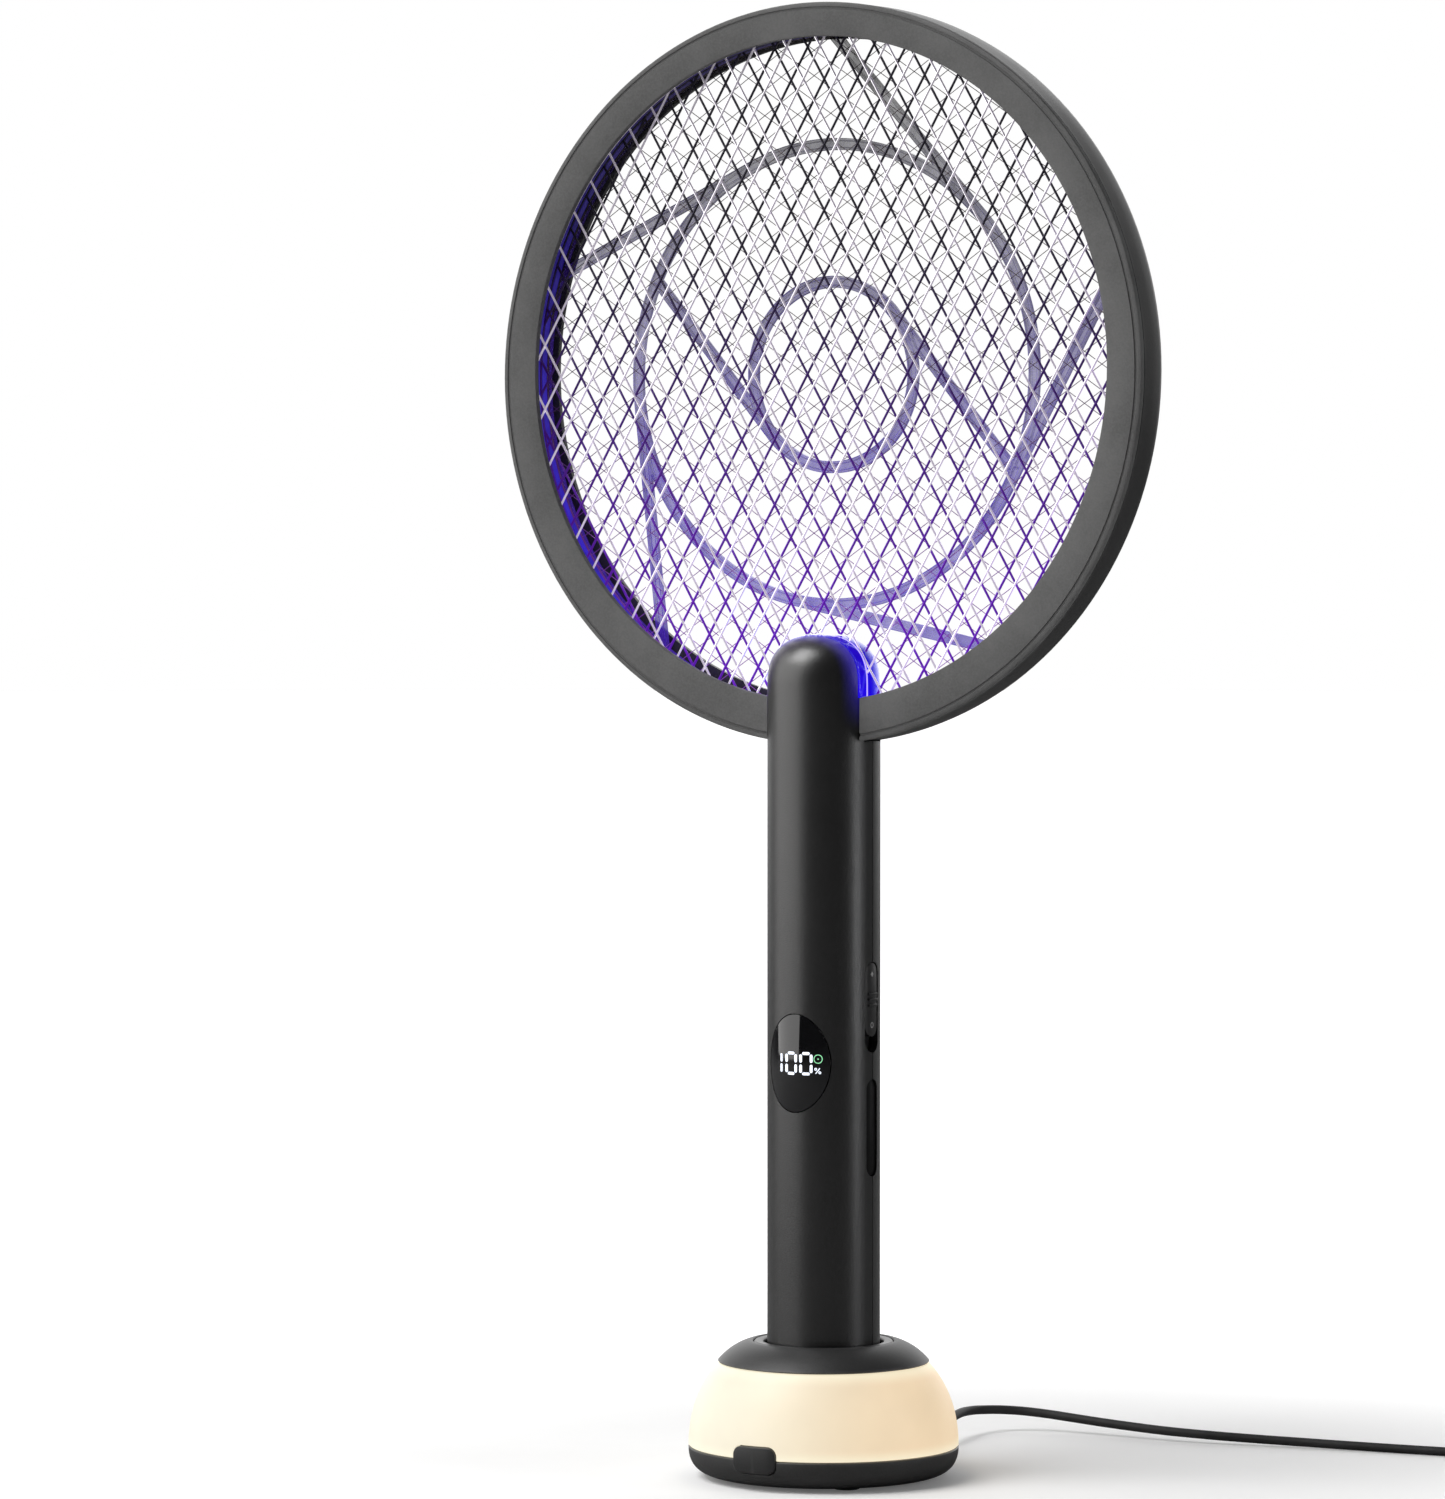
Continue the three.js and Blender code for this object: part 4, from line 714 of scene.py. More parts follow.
def addLens():
    lens = {"wall": 1.8, "edge": 0.5, "drop": 12}
    bottom = openingZ - openingRadius - lens["drop"]
    slab = block((-far, lensLow.y, 0), (far, lensHigh.y, handle["top"] + 1))
    solidLens = carved(column(0, bottom), [slab], "INTERSECT")
    flat = lambda edge: all(abs(vert.co.y - lensLow.y) < 0.01 for vert in edge.verts) and edge.calc_face_angle(0) > 0.6
    soften(solidLens, lens["edge"], flat, 3)
    inner = spun(columnOutline(handle["radius"] - lens["wall"], bottom - 1, handle["domeHeight"] - lens["wall"]),
                 handle["around"], closed=False)
    core = carved(inner, [block((-far, lensLow.y + lens["wall"], 0), (far, lensHigh.y - lens["wall"], handle["top"]))],
                  "INTERSECT")
    shell = carved(solidLens, [core])
    shell = carved(shell, [openingDisc(-far, far, -gap)], "INTERSECT")
    addPiece("uvLens", shell, "lens", "swatter", ["uv_lens"])

addTrimRing()
addHeadShell()
for spacer in ("front_spacer_ring", "rear_spacer_ring"):
    low, high = boxOf(spacer)
    headWasher(low.y, high.y, spacer.split("_")[0] + "Spacer", "insulator", [spacer])
addGrid(grids["front"], "frontGrid")
addGrid(grids["live"], "liveGrid")
addGrid(grids["rear"], "rearGrid")
addRearGuard()
addLens()
print("head made")

# ---- handle ----

display = {"z": placeOf("display_window").z, "half": (10.0, 14.15), "proud": 0.0}
switch = {"top": 151.1, "height": 26.4, "width": 7.5, "knob": 21.4, "sink": 0.2, "edge": 0.35}
zap = {"top": 116.9, "height": 28.3, "width": 6.0, "sink": 0.5, "edge": 0.45}
screws = {"handle": ["handle_screw_lower", "handle_screw_upper"], "neck": ["neck_screw_left", "neck_screw_right"],
          "shank": 1.2, "head": 2.5, "hole": 2.8, "boss": 3.0}

def stadium(top, width, height, low, high, steps=10):
    return plate("X", low, high, (width, height), width / 2, (0, top - height / 2), steps)

def displayOval(grow, low, high):
    shape = bmesh.new()
    bmesh.ops.create_circle(shape, cap_ends=True, segments=72, radius=1)
    bmesh.ops.rotate(shape, cent=(0, 0, 0), matrix=standOnY, verts=shape.verts)
    bmesh.ops.scale(shape, vec=(display["half"][0] + grow, 1, display["half"][1] + grow), verts=shape.verts)
    bmesh.ops.translate(shape, vec=(0, low, display["z"]), verts=shape.verts)
    shape.faces.ensure_lookup_table()
    return thicken(shape, shape.faces[0], (0, high - low, 0))

def shellHalf(front):
    wall = handle["wall"]
    outer = columnOutline(handle["radius"], handle["bottom"], handle["domeHeight"])[1:]
    inner = columnOutline(handle["radius"] - wall, handle["bottom"], handle["domeHeight"] - wall)[1:]
    bottom = [(handle["radius"] - wall, handle["bottom"]), (handle["radius"] - 0.5, handle["bottom"])]
    section = [(handle["radius"], handle["bottom"] + 0.5), *outer[1:], *reversed(inner[1:]), *bottom]
    tube = spun(section, handle["around"], closed=True)
    seam = gap / 2
    half = block((-far, -far, 0), (far, -seam, 300)) if front else block((-far, seam, 0), (far, far, 300))
    return carved(tube, [half], "INTERSECT")

def bossAt(name, low, high):
    place = placeOf(name)
    boss = rod("Y", screws["boss"], low, high, (place.x, place.z), 32)
    return carved(boss, [rod("Z", handle["radius"] - gap, 0, 260, (0, 0), handle["around"])], "INTERSECT")

def screwHole(name, radius, low, high):
    place = placeOf(name)
    return rod("Y", radius, low, high, (place.x, place.z), 32)

frameClear = head["radius"] + gap
slotTools = lambda: [stadium(spec["top"], spec["width"], spec["height"], 11.5, 19) for spec in (switch, zap)]

def addFrontShell():
    pillarBack = head["faceY"] + 1.8 + gap
    shell = shellHalf(True)
    bosses = [bossAt(name, 1 - handle["radius"], -gap / 2) for name in screws["handle"]]
    bosses += [bossAt(name, 1 - handle["radius"], pillarBack) for name in screws["neck"]]
    shell = joined([shell, *bosses])
    tools = [rod("Y", frameClear, pillarBack, far, (0, head["centreZ"]), 180), openingDisc(head["faceY"] - gap / 2, far),
             displayOval(gap, -20, -9), *slotTools()]
    tools += [screwHole(name, 1.5, -13, far) for name in screws["handle"]]
    tools += [screwHole(name, 1.5, -12, 0) for name in screws["neck"]]
    shell = carved(shell, tools)
    addPiece("handleFront", shell, "handle", "swatter", ["handle_front_shell"])

def addRearShell():
    pillarFront = head["rearY"] + gap
    shell = shellHalf(False)
    bosses = [bossAt(name, gap / 2, handle["radius"] - 1) for name in screws["handle"]]
    bosses += [bossAt(name, pillarFront, handle["radius"] - 1) for name in screws["neck"]]
    shell = joined([shell, *bosses])
    tools = [rod("Y", frameClear, -far, pillarFront, (0, head["centreZ"]), 180), *slotTools()]
    for name in screws["handle"] + screws["neck"]:
        tools.append(screwHole(name, 1.5, -far, far))
        headY = boxOf(name)[1].y - (1.8 if name in screws["handle"] else 1.6)
        tools.append(screwHole(name, screws["hole"], headY - gap, far))
    shell = carved(shell, tools)
    addPiece("handleRear", shell, "handle", "swatter", ["handle_rear_shell"])

# Pan-headed screw along +Y, its head last, with a cross recess.
def screwShape(length, shank, headRadius, headHeight):
    outline = [(0, 0), (shank * 0.55, 0), (shank, 1.2)]
    pitch = 1.0
    turns = int((length - headHeight - 1.6) / pitch)
    for turn in range(turns):
        z = 1.2 + turn * pitch
        outline += [(shank, z + 0.2), (shank * 0.82, z + 0.5), (shank, z + 0.8)]
    outline += [(shank, length - headHeight), (headRadius, length - headHeight), (headRadius, length - headHeight * 0.5)]
    outline += [(headRadius * 0.9, length - headHeight * 0.2), (headRadius * 0.62, length - 0.03), (0, length)]
    body = spun(outline, 32, closed=False)
    arm = headRadius * 1.1
    cross = [block((-arm / 2, -0.32, length - 1.0), (arm / 2, 0.32, length + 1)),
             block((-0.32, -arm / 2, length - 1.0), (0.32, arm / 2, length + 1))]
    return carved(body, cross)

def addScrew(node, name, axis, headRadius, headHeight, body, shank):
    low, high = boxOf(node)
    place = placeOf(node)
    if axis == "Y":
        screw = screwShape(high.y - low.y, shank, headRadius, headHeight)
        bmesh.ops.rotate(screw, cent=(0, 0, 0), matrix=standOnY, verts=screw.verts)
        spot = (place.x, low.y, place.z)
    else:
        screw = screwShape(high.z - low.z, shank, headRadius, headHeight)
        bmesh.ops.rotate(screw, cent=(0, 0, 0), matrix=Matrix.Rotation(math.pi, 3, "X"), verts=screw.verts)
        spot = (place.x, place.y, high.z)
    bmesh.ops.translate(screw, vec=spot, verts=screw.verts)
    addPiece(name, screw, "steel", body, [node])

def addDisplay():
    radius = handle["radius"]
    ring = spun([(radius - 1.7, 60), (radius, 60), (radius, 200), (radius - 1.7, 200)], handle["around"] * 2)
    window = carved(displayOval(0, -20, -8), [ring], "INTERSECT")
    outline = lambda edge: edge.calc_face_angle(0) > 0.9 and all(
        math.hypot(vert.co.x, vert.co.y) > radius - 0.05 for vert in edge.verts)
    soften(window, 0.25, outline, 3)
    addPiece("displayWindow", window, "gloss", "swatter", ["display_window"], 50)

segments = {"width": 3.2, "height": 5.9, "stroke": 0.85, "proud": 0.04}
readout = {"one": -6.5, "zeros": (-1.24, 3.57), "percent": (7.1, -2.05), "charge": (7.2, 1.4)}
digitShapes = {"1": "bc", "0": "abcdef"}

def addMark(shapes, name, material):
    addPiece(name, gathered(shapes), material, "swatter")

# Lays a flat mark, drawn about the display's middle, on the handle's round at a given place across.
def laidOn(shape, across, up, radius, turnToSide=0.0):
    bmesh.ops.translate(shape, vec=(0, -radius, up), verts=shape.verts)
    spin = Matrix.Rotation(across / radius + turnToSide, 3, "Z")
    bmesh.ops.rotate(shape, cent=(0, 0, 0), matrix=spin, verts=shape.verts)
    return shape

def bar(x, z, width, height, thickness=0.1):
    corner = min(width, height) * 0.48
    return plate("Y", -segments["proud"], thickness, (width, height), corner, (x, z), 2)

def digit(character, across, up):
    w, h, s = segments["width"], segments["height"], segments["stroke"]
    spots = {
        "a": (0, h / 2, w - s, s), "g": (0, 0, w - s, s), "d": (0, -h / 2, w - s, s),
        "b": (w / 2, h / 4, s, h / 2 - s * 0.6), "c": (w / 2, -h / 4, s, h / 2 - s * 0.6),
        "e": (-w / 2, -h / 4, s, h / 2 - s * 0.6), "f": (-w / 2, h / 4, s, h / 2 - s * 0.6)}
    return [laidOn(bar(*spots[part]), across, up, handle["radius"]) for part in digitShapes[character]]

def ringMark(inner, outer, steps=24):
    return spun([(inner, -0.04), (outer, -0.04), (outer, 0.1), (inner, 0.1)], steps, alongY=True)

def addReadout():
    z = display["z"]
    shapes = digit("1", readout["one"], z)
    for across in readout["zeros"]:
        shapes += digit("0", across, z)
    across, lift = readout["percent"]
    for side in (-1, 1):
        shapes.append(laidOn(ringMark(0.14, 0.42), across + side * 0.6, z + lift - side * 0.5, handle["radius"]))
    slash = bar(0, 0, 0.3, 2.1)
    bmesh.ops.rotate(slash, cent=(0, 0, 0), matrix=Matrix.Rotation(math.radians(38), 3, "Y"), verts=slash.verts)
    shapes.append(laidOn(slash, across, z + lift, handle["radius"]))
    addMark(shapes, "readoutDigits", "digits")
    across, lift = readout["charge"]
    marks = [laidOn(ringMark(1.1, 1.33), across, z + lift, handle["radius"]),
             laidOn(ringMark(0.02, 0.22), across, z + lift, handle["radius"])]
    addMark(marks, "chargeMark", "icon")

# A control on the handle's side: a stadium stem under the handle's round, on a flat skirt inside the wall.
def sideControl(top, width, height, faceRadius, edge, skirtLow, skirtHigh, skirtHalf):
    skirtX = boxOf("slide_switch_knob")[0].x
    stem = stadium(top, width, height, skirtX + 0.2, handle["radius"] + 2)
    face = rod("Z", faceRadius, 0, 260, (0, 0), handle["around"] * 2)
    stem = carved(stem, [face], "INTERSECT")
    rim = lambda item: item.calc_face_angle(0) > 0.7 and all(
        abs(math.hypot(vert.co.x, vert.co.y) - faceRadius) < 0.05 for vert in item.verts)
    soften(stem, edge, rim, 3)
    skirt = block((skirtX, -skirtHalf, skirtLow), (skirtX + 1, skirtHalf, skirtHigh))
    softenSharp(skirt, 0.15)
    return joined([stem, skirt])

def addSwitchKnob():
    low, high = boxOf("slide_switch_knob")
    top = switch["top"] - gap
    face = handle["radius"] - switch["sink"]
    knob = sideControl(top, switch["width"] - 2 * gap, switch["knob"], face, switch["edge"], low.z, high.z, high.y)
    middle = top - switch["knob"] / 2
    ridges = []
    for lift in (-1.6, 0, 1.6):
        ridge = block((face - 1.6, -2.2, middle + lift - 0.4), (high.x if lift == 0 else high.x - 0.15, 2.2, middle + lift + 0.4))
        ridges.append(softenSharp(ridge, 0.16))
    knob = joined([knob, *ridges])
    addPiece("switchKnob", knob, "controls", "power_switch", ["slide_switch_knob"])
    side = math.pi / 2
    ring = spun([(0.55, -0.03), (0.85, -0.03), (0.85, 0.1), (0.55, 0.1)], 24, alongY=True)
    diamond = plate("Y", -0.03, 0.1, (1.1, 1.1), 0)
    bmesh.ops.rotate(diamond, cent=(0, 0, 0), matrix=Matrix.Rotation(math.radians(45), 3, "Y"), verts=diamond.verts)
    marks = [laidOn(ring, 0, top - switch["knob"] + 3.3, face, side), laidOn(diamond, 0, top - 3.3, face, side)]
    addPiece("switchMarks", gathered(marks), "mark", "power_switch")

def addZapButton():
    low, high = boxOf("zap_button")
    face = handle["radius"] - zap["sink"]
    button = sideControl(zap["top"] - gap, zap["width"] - 2 * gap, zap["height"] - 2 * gap, face, zap["edge"],
                         low.z, high.z, high.y)
    addPiece("zapButton", button, "zapBar", "zap_key", ["zap_button"])

def addEndCap():
    low, high = boxOf("handle_end_cap")
    radius = high.x
    outline = [(0, low.z + 0.7), (9.2, low.z + 0.7), (9.5, low.z), (radius - 0.5, low.z), (radius, low.z + 0.5),
               (radius, high.z), (0, high.z)]
    contacts = [placeOf(name).x for name in ("charge_contact_left", "charge_contact_right")]
    cap = carved(spun(outline, 96, closed=False), [rod("Z", 2.5, 0, 20, (x, 0), 32) for x in contacts])
    addPiece("endCap", cap, "controls", "swatter", ["handle_end_cap"])

def addStud(node, name, body, domeDown):
    low, high = boxOf(node)
    place = placeOf(node)
    radius = (high.x - low.x) / 2
    length = high.z - low.z
    outline = [(0, 0), (radius * 0.7, 0.05), (radius * 0.94, 0.25), (radius, 0.6), (radius, length * 0.45),
               (radius * 0.86, length * 0.45 + 0.1), (radius * 0.86, length * 0.6), (radius, length * 0.6 + 0.1),
               (radius, length - 0.1), (radius - 0.1, length), (0, length)]
    stud = spun(outline, 40, closed=False)
    if not domeDown:
        bmesh.ops.rotate(stud, cent=(0, 0, 0), matrix=Matrix.Rotation(math.pi, 3, "X"), verts=stud.verts)
    bmesh.ops.translate(stud, vec=(place.x, place.y, low.z if domeDown else high.z), verts=stud.verts)
    addPiece(name, stud, "gold", body, [node])

addFrontShell()
addRearShell()
addScrew("handle_screw_lower", "handleScrewLower", "Y", 2.5, 1.8, "swatter", 1.2)
addScrew("handle_screw_upper", "handleScrewUpper", "Y", 2.5, 1.8, "swatter", 1.2)
addScrew("neck_screw_left", "neckScrewLeft", "Y", 2.5, 1.6, "swatter", 1.2)
addScrew("neck_screw_right", "neckScrewRight", "Y", 2.5, 1.6, "swatter", 1.2)
addDisplay()
addReadout()
addSwitchKnob()
addZapButton()
addEndCap()
addStud("charge_contact_left", "contactLeft", "swatter", True)
addStud("charge_contact_right", "contactRight", "swatter", True)
print("handle made")

# ---- base ----

bottomLow, bottomHigh = boxOf("base_bottom_shell")
diffuserLow, diffuserHigh = boxOf("base_diffuser")
capLow, capHigh = boxOf("base_cap")
base = {"radius": bottomHigh.x, "flat": bottomHigh.x - 7, "under": bottomLow.z, "wall": 2, "floorTop": 2.4,
        "seam": 9.2, "around": 160, "upperRadius": capHigh.x, "capInner": 20.6, "top": capHigh.z}
baseButton = {"width": 14.0, "height": 7.7, "corner": 2.6, "edge": 0.6}
feet = [f"foot_pad_{index}" for index in (1, 2, 3, 4)]

def buttonPrism(grow):
    size = (baseButton["width"] + 2 * grow, baseButton["height"] + 2 * grow)
    return plate("Y", -base["radius"] - 2, -base["radius"] + 6, size, baseButton["corner"] + grow, (0, base["seam"]))

def addBottomShell():
    seam, radius = bottomHigh.z, base["radius"]
    inner = radius - base["wall"]
    section = [(0, base["under"]), (base["flat"] - 6, base["under"])]
    section += circleArc((base["flat"], base["under"]), (radius, base["under"] + 1), (radius, seam - 0.25), 14)
    section += [(radius - 0.25, seam), (inner, seam)]
    section += circleArc((inner, seam - 1), (inner, base["floorTop"] + 0.6), (base["flat"] - 1, base["floorTop"]), 5)
    section += [(0, base["floorTop"])]
    bowl = spun(section, base["around"], closed=False)
    tools = [plate("Y", radius - 10, radius + 3, (10, 4), 1.5, (0, placeOf("usb_socket").z)), buttonPrism(gap)]
    for foot in feet:
        spot = placeOf(foot)
        tools.append(rod("Z", 4.1, 0, base["under"] + 0.8, (spot.x, spot.y), 40))
    for name in ("base_screw_left", "base_screw_right"):
        x = placeOf(name).x
        tools.append(rod("Z", 1.4, 0, 4, (x, 0), 24))
        tools.append(rod("Z", 2.5, 0, base["under"] + 0.9, (x, 0), 32))
    addPiece("baseBottom", carved(bowl, tools), "base", "base", ["base_bottom_shell"])

def addDiffuser():
    low, high, radius, upper = diffuserLow.z, diffuserHigh.z, base["radius"], base["upperRadius"]
    bulge = radius - 0.2
    outer = circleArc((radius, low + 0.25), (bulge, 24), (upper, high - 0.2), 22)
    inner = circleArc((upper - base["wall"], high), (bulge - base["wall"], 23), (radius - base["wall"], low), 12)
    section = [*outer, (upper - 0.25, high), *inner, (radius - 0.25, low)]
    ring = carved(spun(section, base["around"]), [buttonPrism(gap)])
    addPiece("diffuser", ring, "opal", "base", ["base_diffuser"])

def addBaseCap():
    low, top, upper, mouth = capLow.z, base["top"], base["upperRadius"], base["capInner"]
    rise = top - low
    under = upper - base["wall"]
    outer = circleArc((upper, low + 0.3), (upper - 3.7, low + 0.75 * rise), (mouth + 1.4, top - 0.05), 14)
    lip = [(mouth + 0.3, top), (mouth, top - 0.3), (mouth, top - 1.4), (mouth - 1.2, top - 1.4), (mouth - 1.2, top - 3.0),
           (mouth, top - 3.0)]
    inner = circleArc((mouth, top - 3.0), (under - 2.5, low + 2), (under, low), 6)[1:]
    cap = spun([*outer, *lip, *inner, (upper - 0.25, low)], base["around"])
    addPiece("baseCap", cap, "base", "base", ["base_cap"])

def addSocketCup():
    low, high = boxOf("socket_cup")
    cup = {"inner": 17.6, "outer": 19.1, "flange": 20.3, "floor": 8.0, "floorUnder": 6.5}
    top = high.z
    section = [(0, cup["floorUnder"]), (cup["outer"], cup["floorUnder"]), (cup["outer"], top - 1.0),
               (cup["flange"], top - 1.0), (cup["flange"], top - 0.3), (cup["flange"] - 0.3, top),
               *circleArc((cup["inner"] + 0.7, top), (cup["inner"], top), (cup["inner"], top - 0.7), 4),
               *circleArc((cup["inner"], cup["floor"] + 1.2), (cup["inner"], cup["floor"]),
                          (cup["inner"] - 1.2, cup["floor"]), 4), (0, cup["floor"])]
    body = spun(section, 128, closed=False)
    rib = block((-1.6, cup["inner"] - 0.7, cup["floor"] - 0.5), (1.6, cup["inner"] + 0.6, top - 3))
    softenSharp(rib, 0.25)
    posts = [rod("Z", 2.6, low.z, cup["floorUnder"] + 0.3, (placeOf(name).x, 0)) for name in ("base_screw_left", "base_screw_right")]
    body = joined([body, rib, *posts])
    tools = [rod("Z", 1.5, 0, 20, (placeOf(name).x, 0)) for name in ("charging_pin_left", "charging_pin_right")]
    tools += [rod("Z", 1.4, 0, 6.3, (placeOf(name).x, 0)) for name in ("base_screw_left", "base_screw_right")]
    addPiece("socketCup", carved(body, tools), "controls", "base", ["socket_cup"])

def addBaseButton():
    low, high = boxOf("base_button")
    radius = -low.y
    stem = plate("Y", low.y - 2, -35.1, (baseButton["width"], baseButton["height"]), baseButton["corner"],
                 (0, base["seam"]))
    stem = carved(stem, [rod("Z", radius, 0, 40, (0, 0), base["around"] * 2)], "INTERSECT")
    rim = lambda edge: edge.calc_face_angle(0) > 0.7 and all(
        abs(math.hypot(vert.co.x, vert.co.y) - radius) < 0.05 for vert in edge.verts)
    soften(stem, baseButton["edge"], rim, 3)
    flange = block((low.x, -35.0, low.z), (high.x, high.y, high.z))
    softenSharp(flange, 0.2)
    for vert in flange.verts:
        vert.co.y = min(vert.co.y, high.y)
    whole = joined([stem, block((-6, -36, base["seam"] - 3), (6, -34.5, base["seam"] + 3)), flange])
    addPiece("baseButton", whole, "controls", "light_key", ["base_button"])

def addFoot(name):
    low, high = boxOf(name)
    place = placeOf(name)
    radius = (high.x - low.x) / 2
    section = [(0, 0.12), (radius * 0.55, 0.12), (radius * 0.65, 0), (radius - 0.35, 0), (radius - 0.08, 0.12),
               (radius, 0.4), (radius, high.z - 0.1), (radius - 0.1, high.z), (0, high.z)]
    pad = spun(section, 40, closed=False, centre=(place.x, place.y, 0))
    addPiece("foot" + name[-1], pad, "rubber", "base", [name])

addBottomShell()
addDiffuser()
addBaseCap()
addSocketCup()
addBaseButton()
for foot in feet:
    addFoot(foot)
addScrew("base_screw_left", "baseScrewLeft", "Z", 2.2, 1.0, "base", 1.1)
addScrew("base_screw_right", "baseScrewRight", "Z", 2.2, 1.0, "base", 1.1)
addStud("charging_pin_left", "pinLeft", "base", False)
addStud("charging_pin_right", "pinRight", "base", False)
print("base made")

# ---- charging cable ----

cable = {
    "diameter": 2.8 * mm,
    "columns": 4, "turnsMiddle": 5.5 * 2.8 * mm,
    "coilCentre": (0.160, 0.1538), "entryAngle": -81.2,
    "pointsPerTurn": 24, "shiftFrom": 300, "riseFrom": 240, "topShiftFrom": 180, "shiftOver": 60,
    "leadOut": [(0.1796, 0.1568, 0.0042), (0.1796, 0.161, 0.0041), (0.1796, 0.1665, 0.004)],
}
cableRoute = [
    (0, 66.3, 5.6), (-0.6, 72, 6.2), (-2.2, 79, 7), (-4.3, 87, 7.5), (-5.6, 96, 7.4), (-4.2, 104.6, 6.9),
    (1.5, 111.6, 6.3), (10, 114.8, 5.6), (19, 115.6, 4.9), (29, 115.8, 4.2), (40, 115.9, 3.6),
    (51, 116.2, 3.1), (63, 117.4, 2.7), (77, 120.4, 2.2), (93, 124, 1.8), (115, 127.6, 1.5),
    (138, 130.6, 1.45), (152, 132.8, 1.45),
]

def smoothStep(value):
    value = min(max(value, 0), 1)
    return value * value * (3 - 2 * value)

# Each layer has its turns side by side; the cable steps over by one diameter in one short sector of each turn.
def coilPoints():
    d = cable["diameter"]
    outer = cable["turnsMiddle"] + (cable["columns"] - 1) / 2 * d
    perLayer = cable["columns"]
    step = 360 / cable["pointsPerTurn"]
    lastDegree = (2 * perLayer - 1) * 360 - cable["entryAngle"]
    points = []
    for i in range(int(lastDegree / step) + 1):
        degree = i * step
        turn, phase = divmod(degree, 360)
        rise = smoothStep((degree - (perLayer - 1) * 360 - cable["riseFrom"]) / cable["shiftOver"])
        if rise == 0:
            columnsIn = min(turn + smoothStep((phase - cable["shiftFrom"]) / cable["shiftOver"]), perLayer - 1)
        else:
            back = max(turn - perLayer, 0)
            columnsIn = perLayer - 1 - back
            if turn >= perLayer:
                columnsIn -= smoothStep((phase - cable["topShiftFrom"]) / cable["shiftOver"])
            columnsIn = max(columnsIn, 0)
        radius = outer - columnsIn * d
        angle = math.radians(cable["entryAngle"] + degree)
        x = cable["coilCentre"][0] + radius * math.cos(angle)
        y = cable["coilCentre"][1] + radius * math.sin(angle)
        points.append((x, y, d / 2 + rise * d))
    return points

def addCable():
    points = [(x * mm, y * mm, z * mm) for x, y, z in cableRoute] + coilPoints() + cable["leadOut"]
    points[0] = (0, 0.0648, 0.0056)  # the first point lies inside the plug's relief
    data = bpy.data.curves.new("cableLead", "CURVE")
    data.dimensions = "3D"
    data.bevel_depth = cable["diameter"] / 2
    data.bevel_resolution = 3
    data.resolution_u = 4
    data.use_fill_caps = True
    spline = data.splines.new("BEZIER")
    spline.bezier_points.add(len(points) - 1)
    for knot, place in zip(spline.bezier_points, points):
        knot.co = place
        knot.handle_left_type = knot.handle_right_type = "AUTO"
    lead = bpy.data.objects.new("cableLead", data)
    lead.data.materials.append(materials["rubber"])
    bpy.context.collection.objects.link(lead)
    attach(lead, "base")
    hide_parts("charging_cable", "charging_cable_coil")
    return lead

# Moulded plug body with a ribbed relief towards -Y or +Y; lengths run away from the relief's thin end.
def plugShape(width, height, bodyLength, reliefLength, thin):
    body = plate("Y", reliefLength, reliefLength + bodyLength, (width, height), min(width, height) * 0.35, (0, 0), 6)
    softenSharp(body, 0.7, 60, 3)
    outline = [(0, 0)]
    ribs = 4
    pitch = reliefLength / ribs
    for index in range(ribs):
        radius = thin + 0.9 * index / ribs
        start = index * pitch
        outline += [(radius - 0.1, start + 0.02), (radius, start + 0.15), (radius + 0.15, start + pitch * 0.62)]
        outline += [(radius - 0.25, start + pitch * 0.68), (radius - 0.25, start + pitch * 0.98)]
    outline += [(thin + 0.9, reliefLength + 1), (0, reliefLength + 1)]
    relief = spun(outline, 40, closed=False, alongY=True)
    return joined([body, relief])

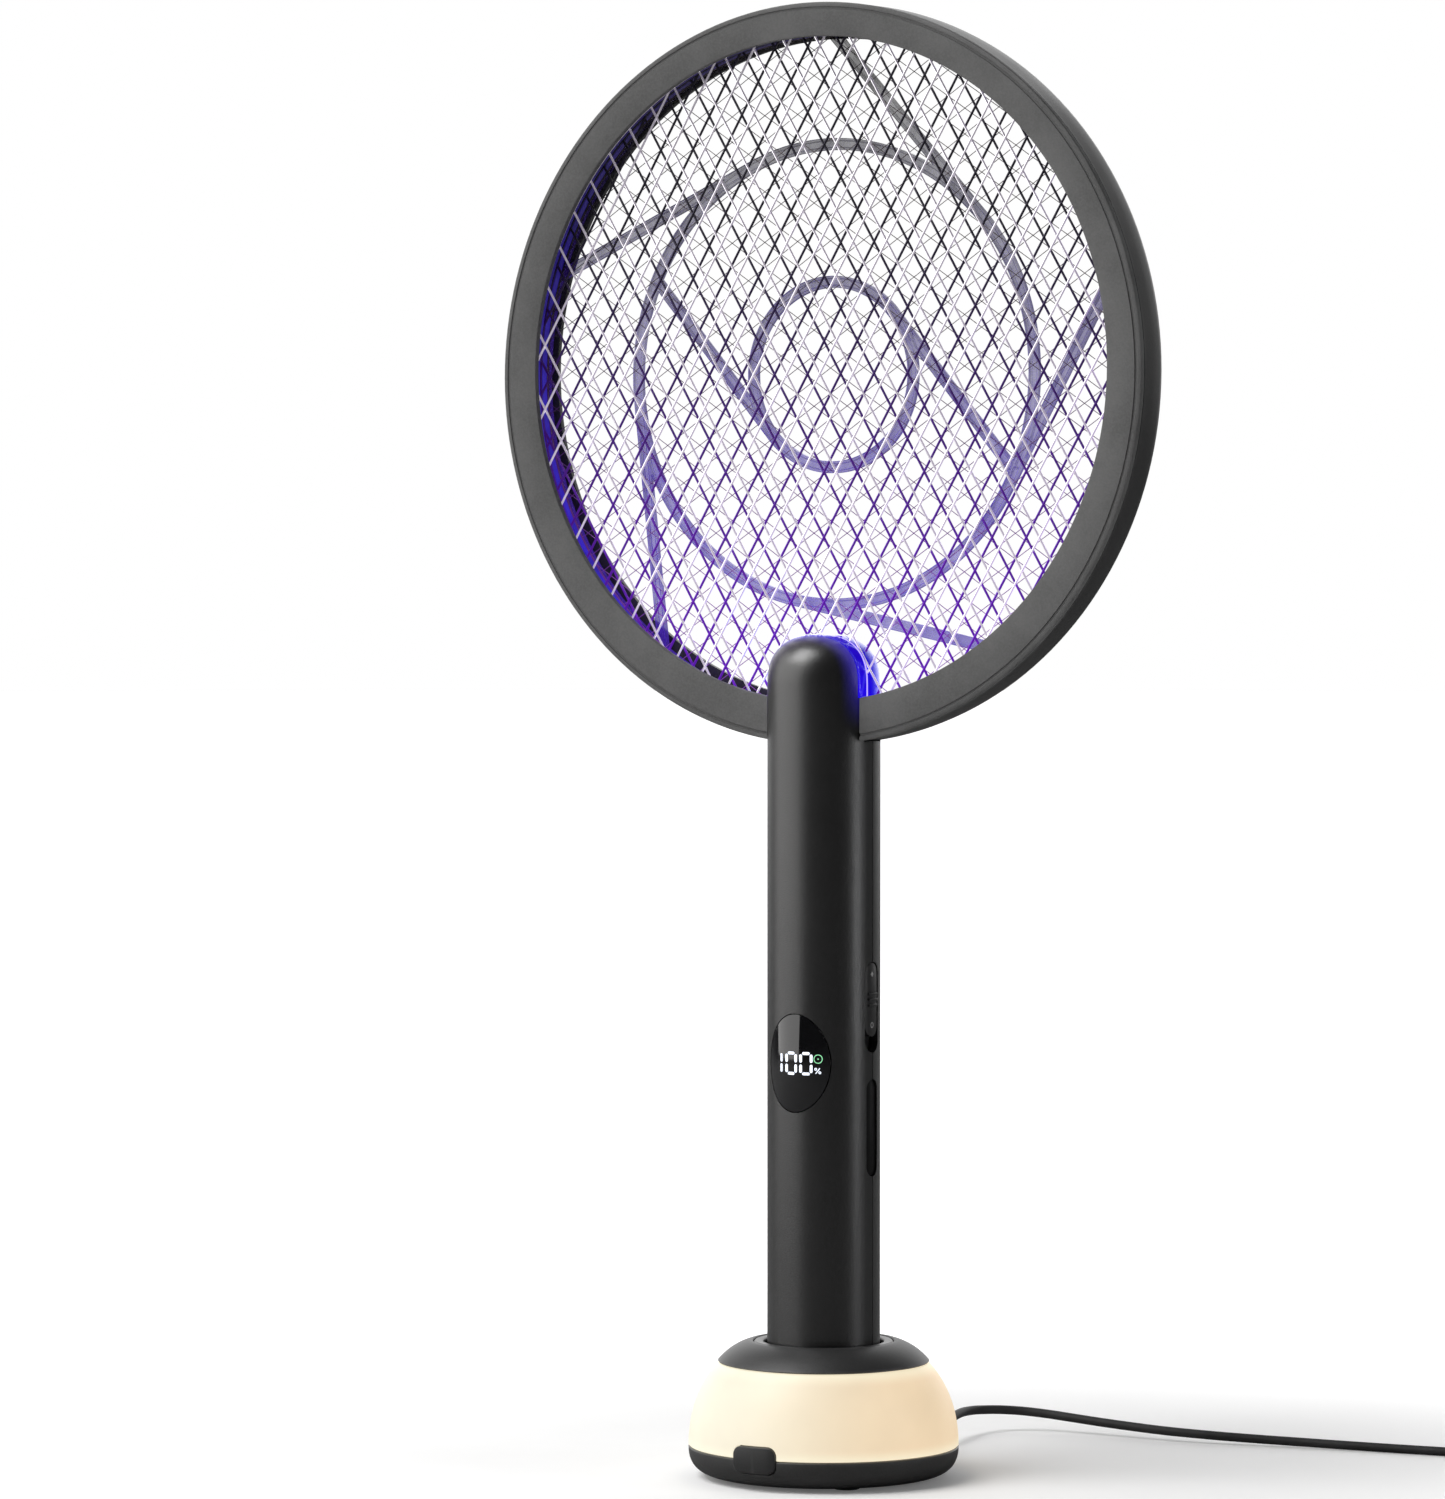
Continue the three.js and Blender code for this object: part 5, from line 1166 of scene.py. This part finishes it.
def addPlugs():
    made = []
    low, high = boxOf("cable_plug_c")
    middle = placeOf("cable_plug_c")
    shape = plugShape(high.x - low.x, high.z - low.z, 17.8, 8, 1.9)
    bmesh.ops.rotate(shape, cent=(0, 0, 0), matrix=Matrix.Rotation(math.pi, 3, "Z"), verts=shape.verts)
    bmesh.ops.translate(shape, vec=(0, high.y, middle.z), verts=shape.verts)
    made.append(addPiece("plugC", shape, "rubber", "base", ["cable_plug_c"]))
    tip = plate("Y", low.y, 41, (8.1, 2.5), 1.2, (0, middle.z), 6)
    made.append(addPiece("plugCTip", softenSharp(tip, 0.15, 60), "steel", "base"))
    low, high = boxOf("cable_plug_a")
    middle = placeOf("cable_plug_a")
    shape = plugShape(high.x - low.x, high.z - low.z, 20, 8, 1.9)
    bmesh.ops.translate(shape, vec=(middle.x, low.y, middle.z), verts=shape.verts)
    made.append(addPiece("plugA", shape, "rubber", "base", ["cable_plug_a"]))
    tip = plate("Y", high.y - 13, high.y, (12, 4.5), 0.3, (middle.x, middle.z), 2)
    windows = [block((middle.x + x - 1.2, high.y - 6.5, middle.z + 1), (middle.x + x + 1.2, high.y - 4.2, high.z + 5)) for x in (-3, 3)]
    mouth = block((middle.x - 5.6, high.y - 11, middle.z - 1.9), (middle.x + 5.6, high.y + 1, middle.z + 1.9))
    tip = carved(tip, [mouth, *windows])
    made.append(addPiece("plugATip", tip, "steel", "base"))
    tongue = block((middle.x - 5.4, high.y - 10.5, middle.z - 1.2), (middle.x + 5.4, high.y - 0.8, middle.z + 0.3))
    made.append(addPiece("plugATongue", softenSharp(tongue, 0.2), "lampBoard", "base"))
    return made

cableLead = addCable()
plugs = addPlugs()
print("cable laid")

# ---- inner pieces that keep their own shape ----

innerFinish = {
    "uv_led_board": "lampBoard", "uv_led_left": "uvLed", "uv_led_right": "uvLed", "display_module": "component",
    "main_circuit_board": "board", "hv_transformer": "film", "hv_capacitor": "cell", "battery_cell": "cell",
    "battery_contact_top": "steel", "battery_contact_bottom": "steel", "slide_switch_body": "component",
    "tact_switch": "component", "charging_board": "board", "usb_socket": "steel", "light_board": "lampBoard",
    "light_led_1": "led", "light_led_2": "led", "light_led_3": "led", "light_led_4": "led", "base_weight": "steel",
    "base_button_switch": "component",
}
for name, finish in innerFinish.items():
    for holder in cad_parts[name].material_slots:
        holder.material = materials[finish]
print("inner pieces finished")
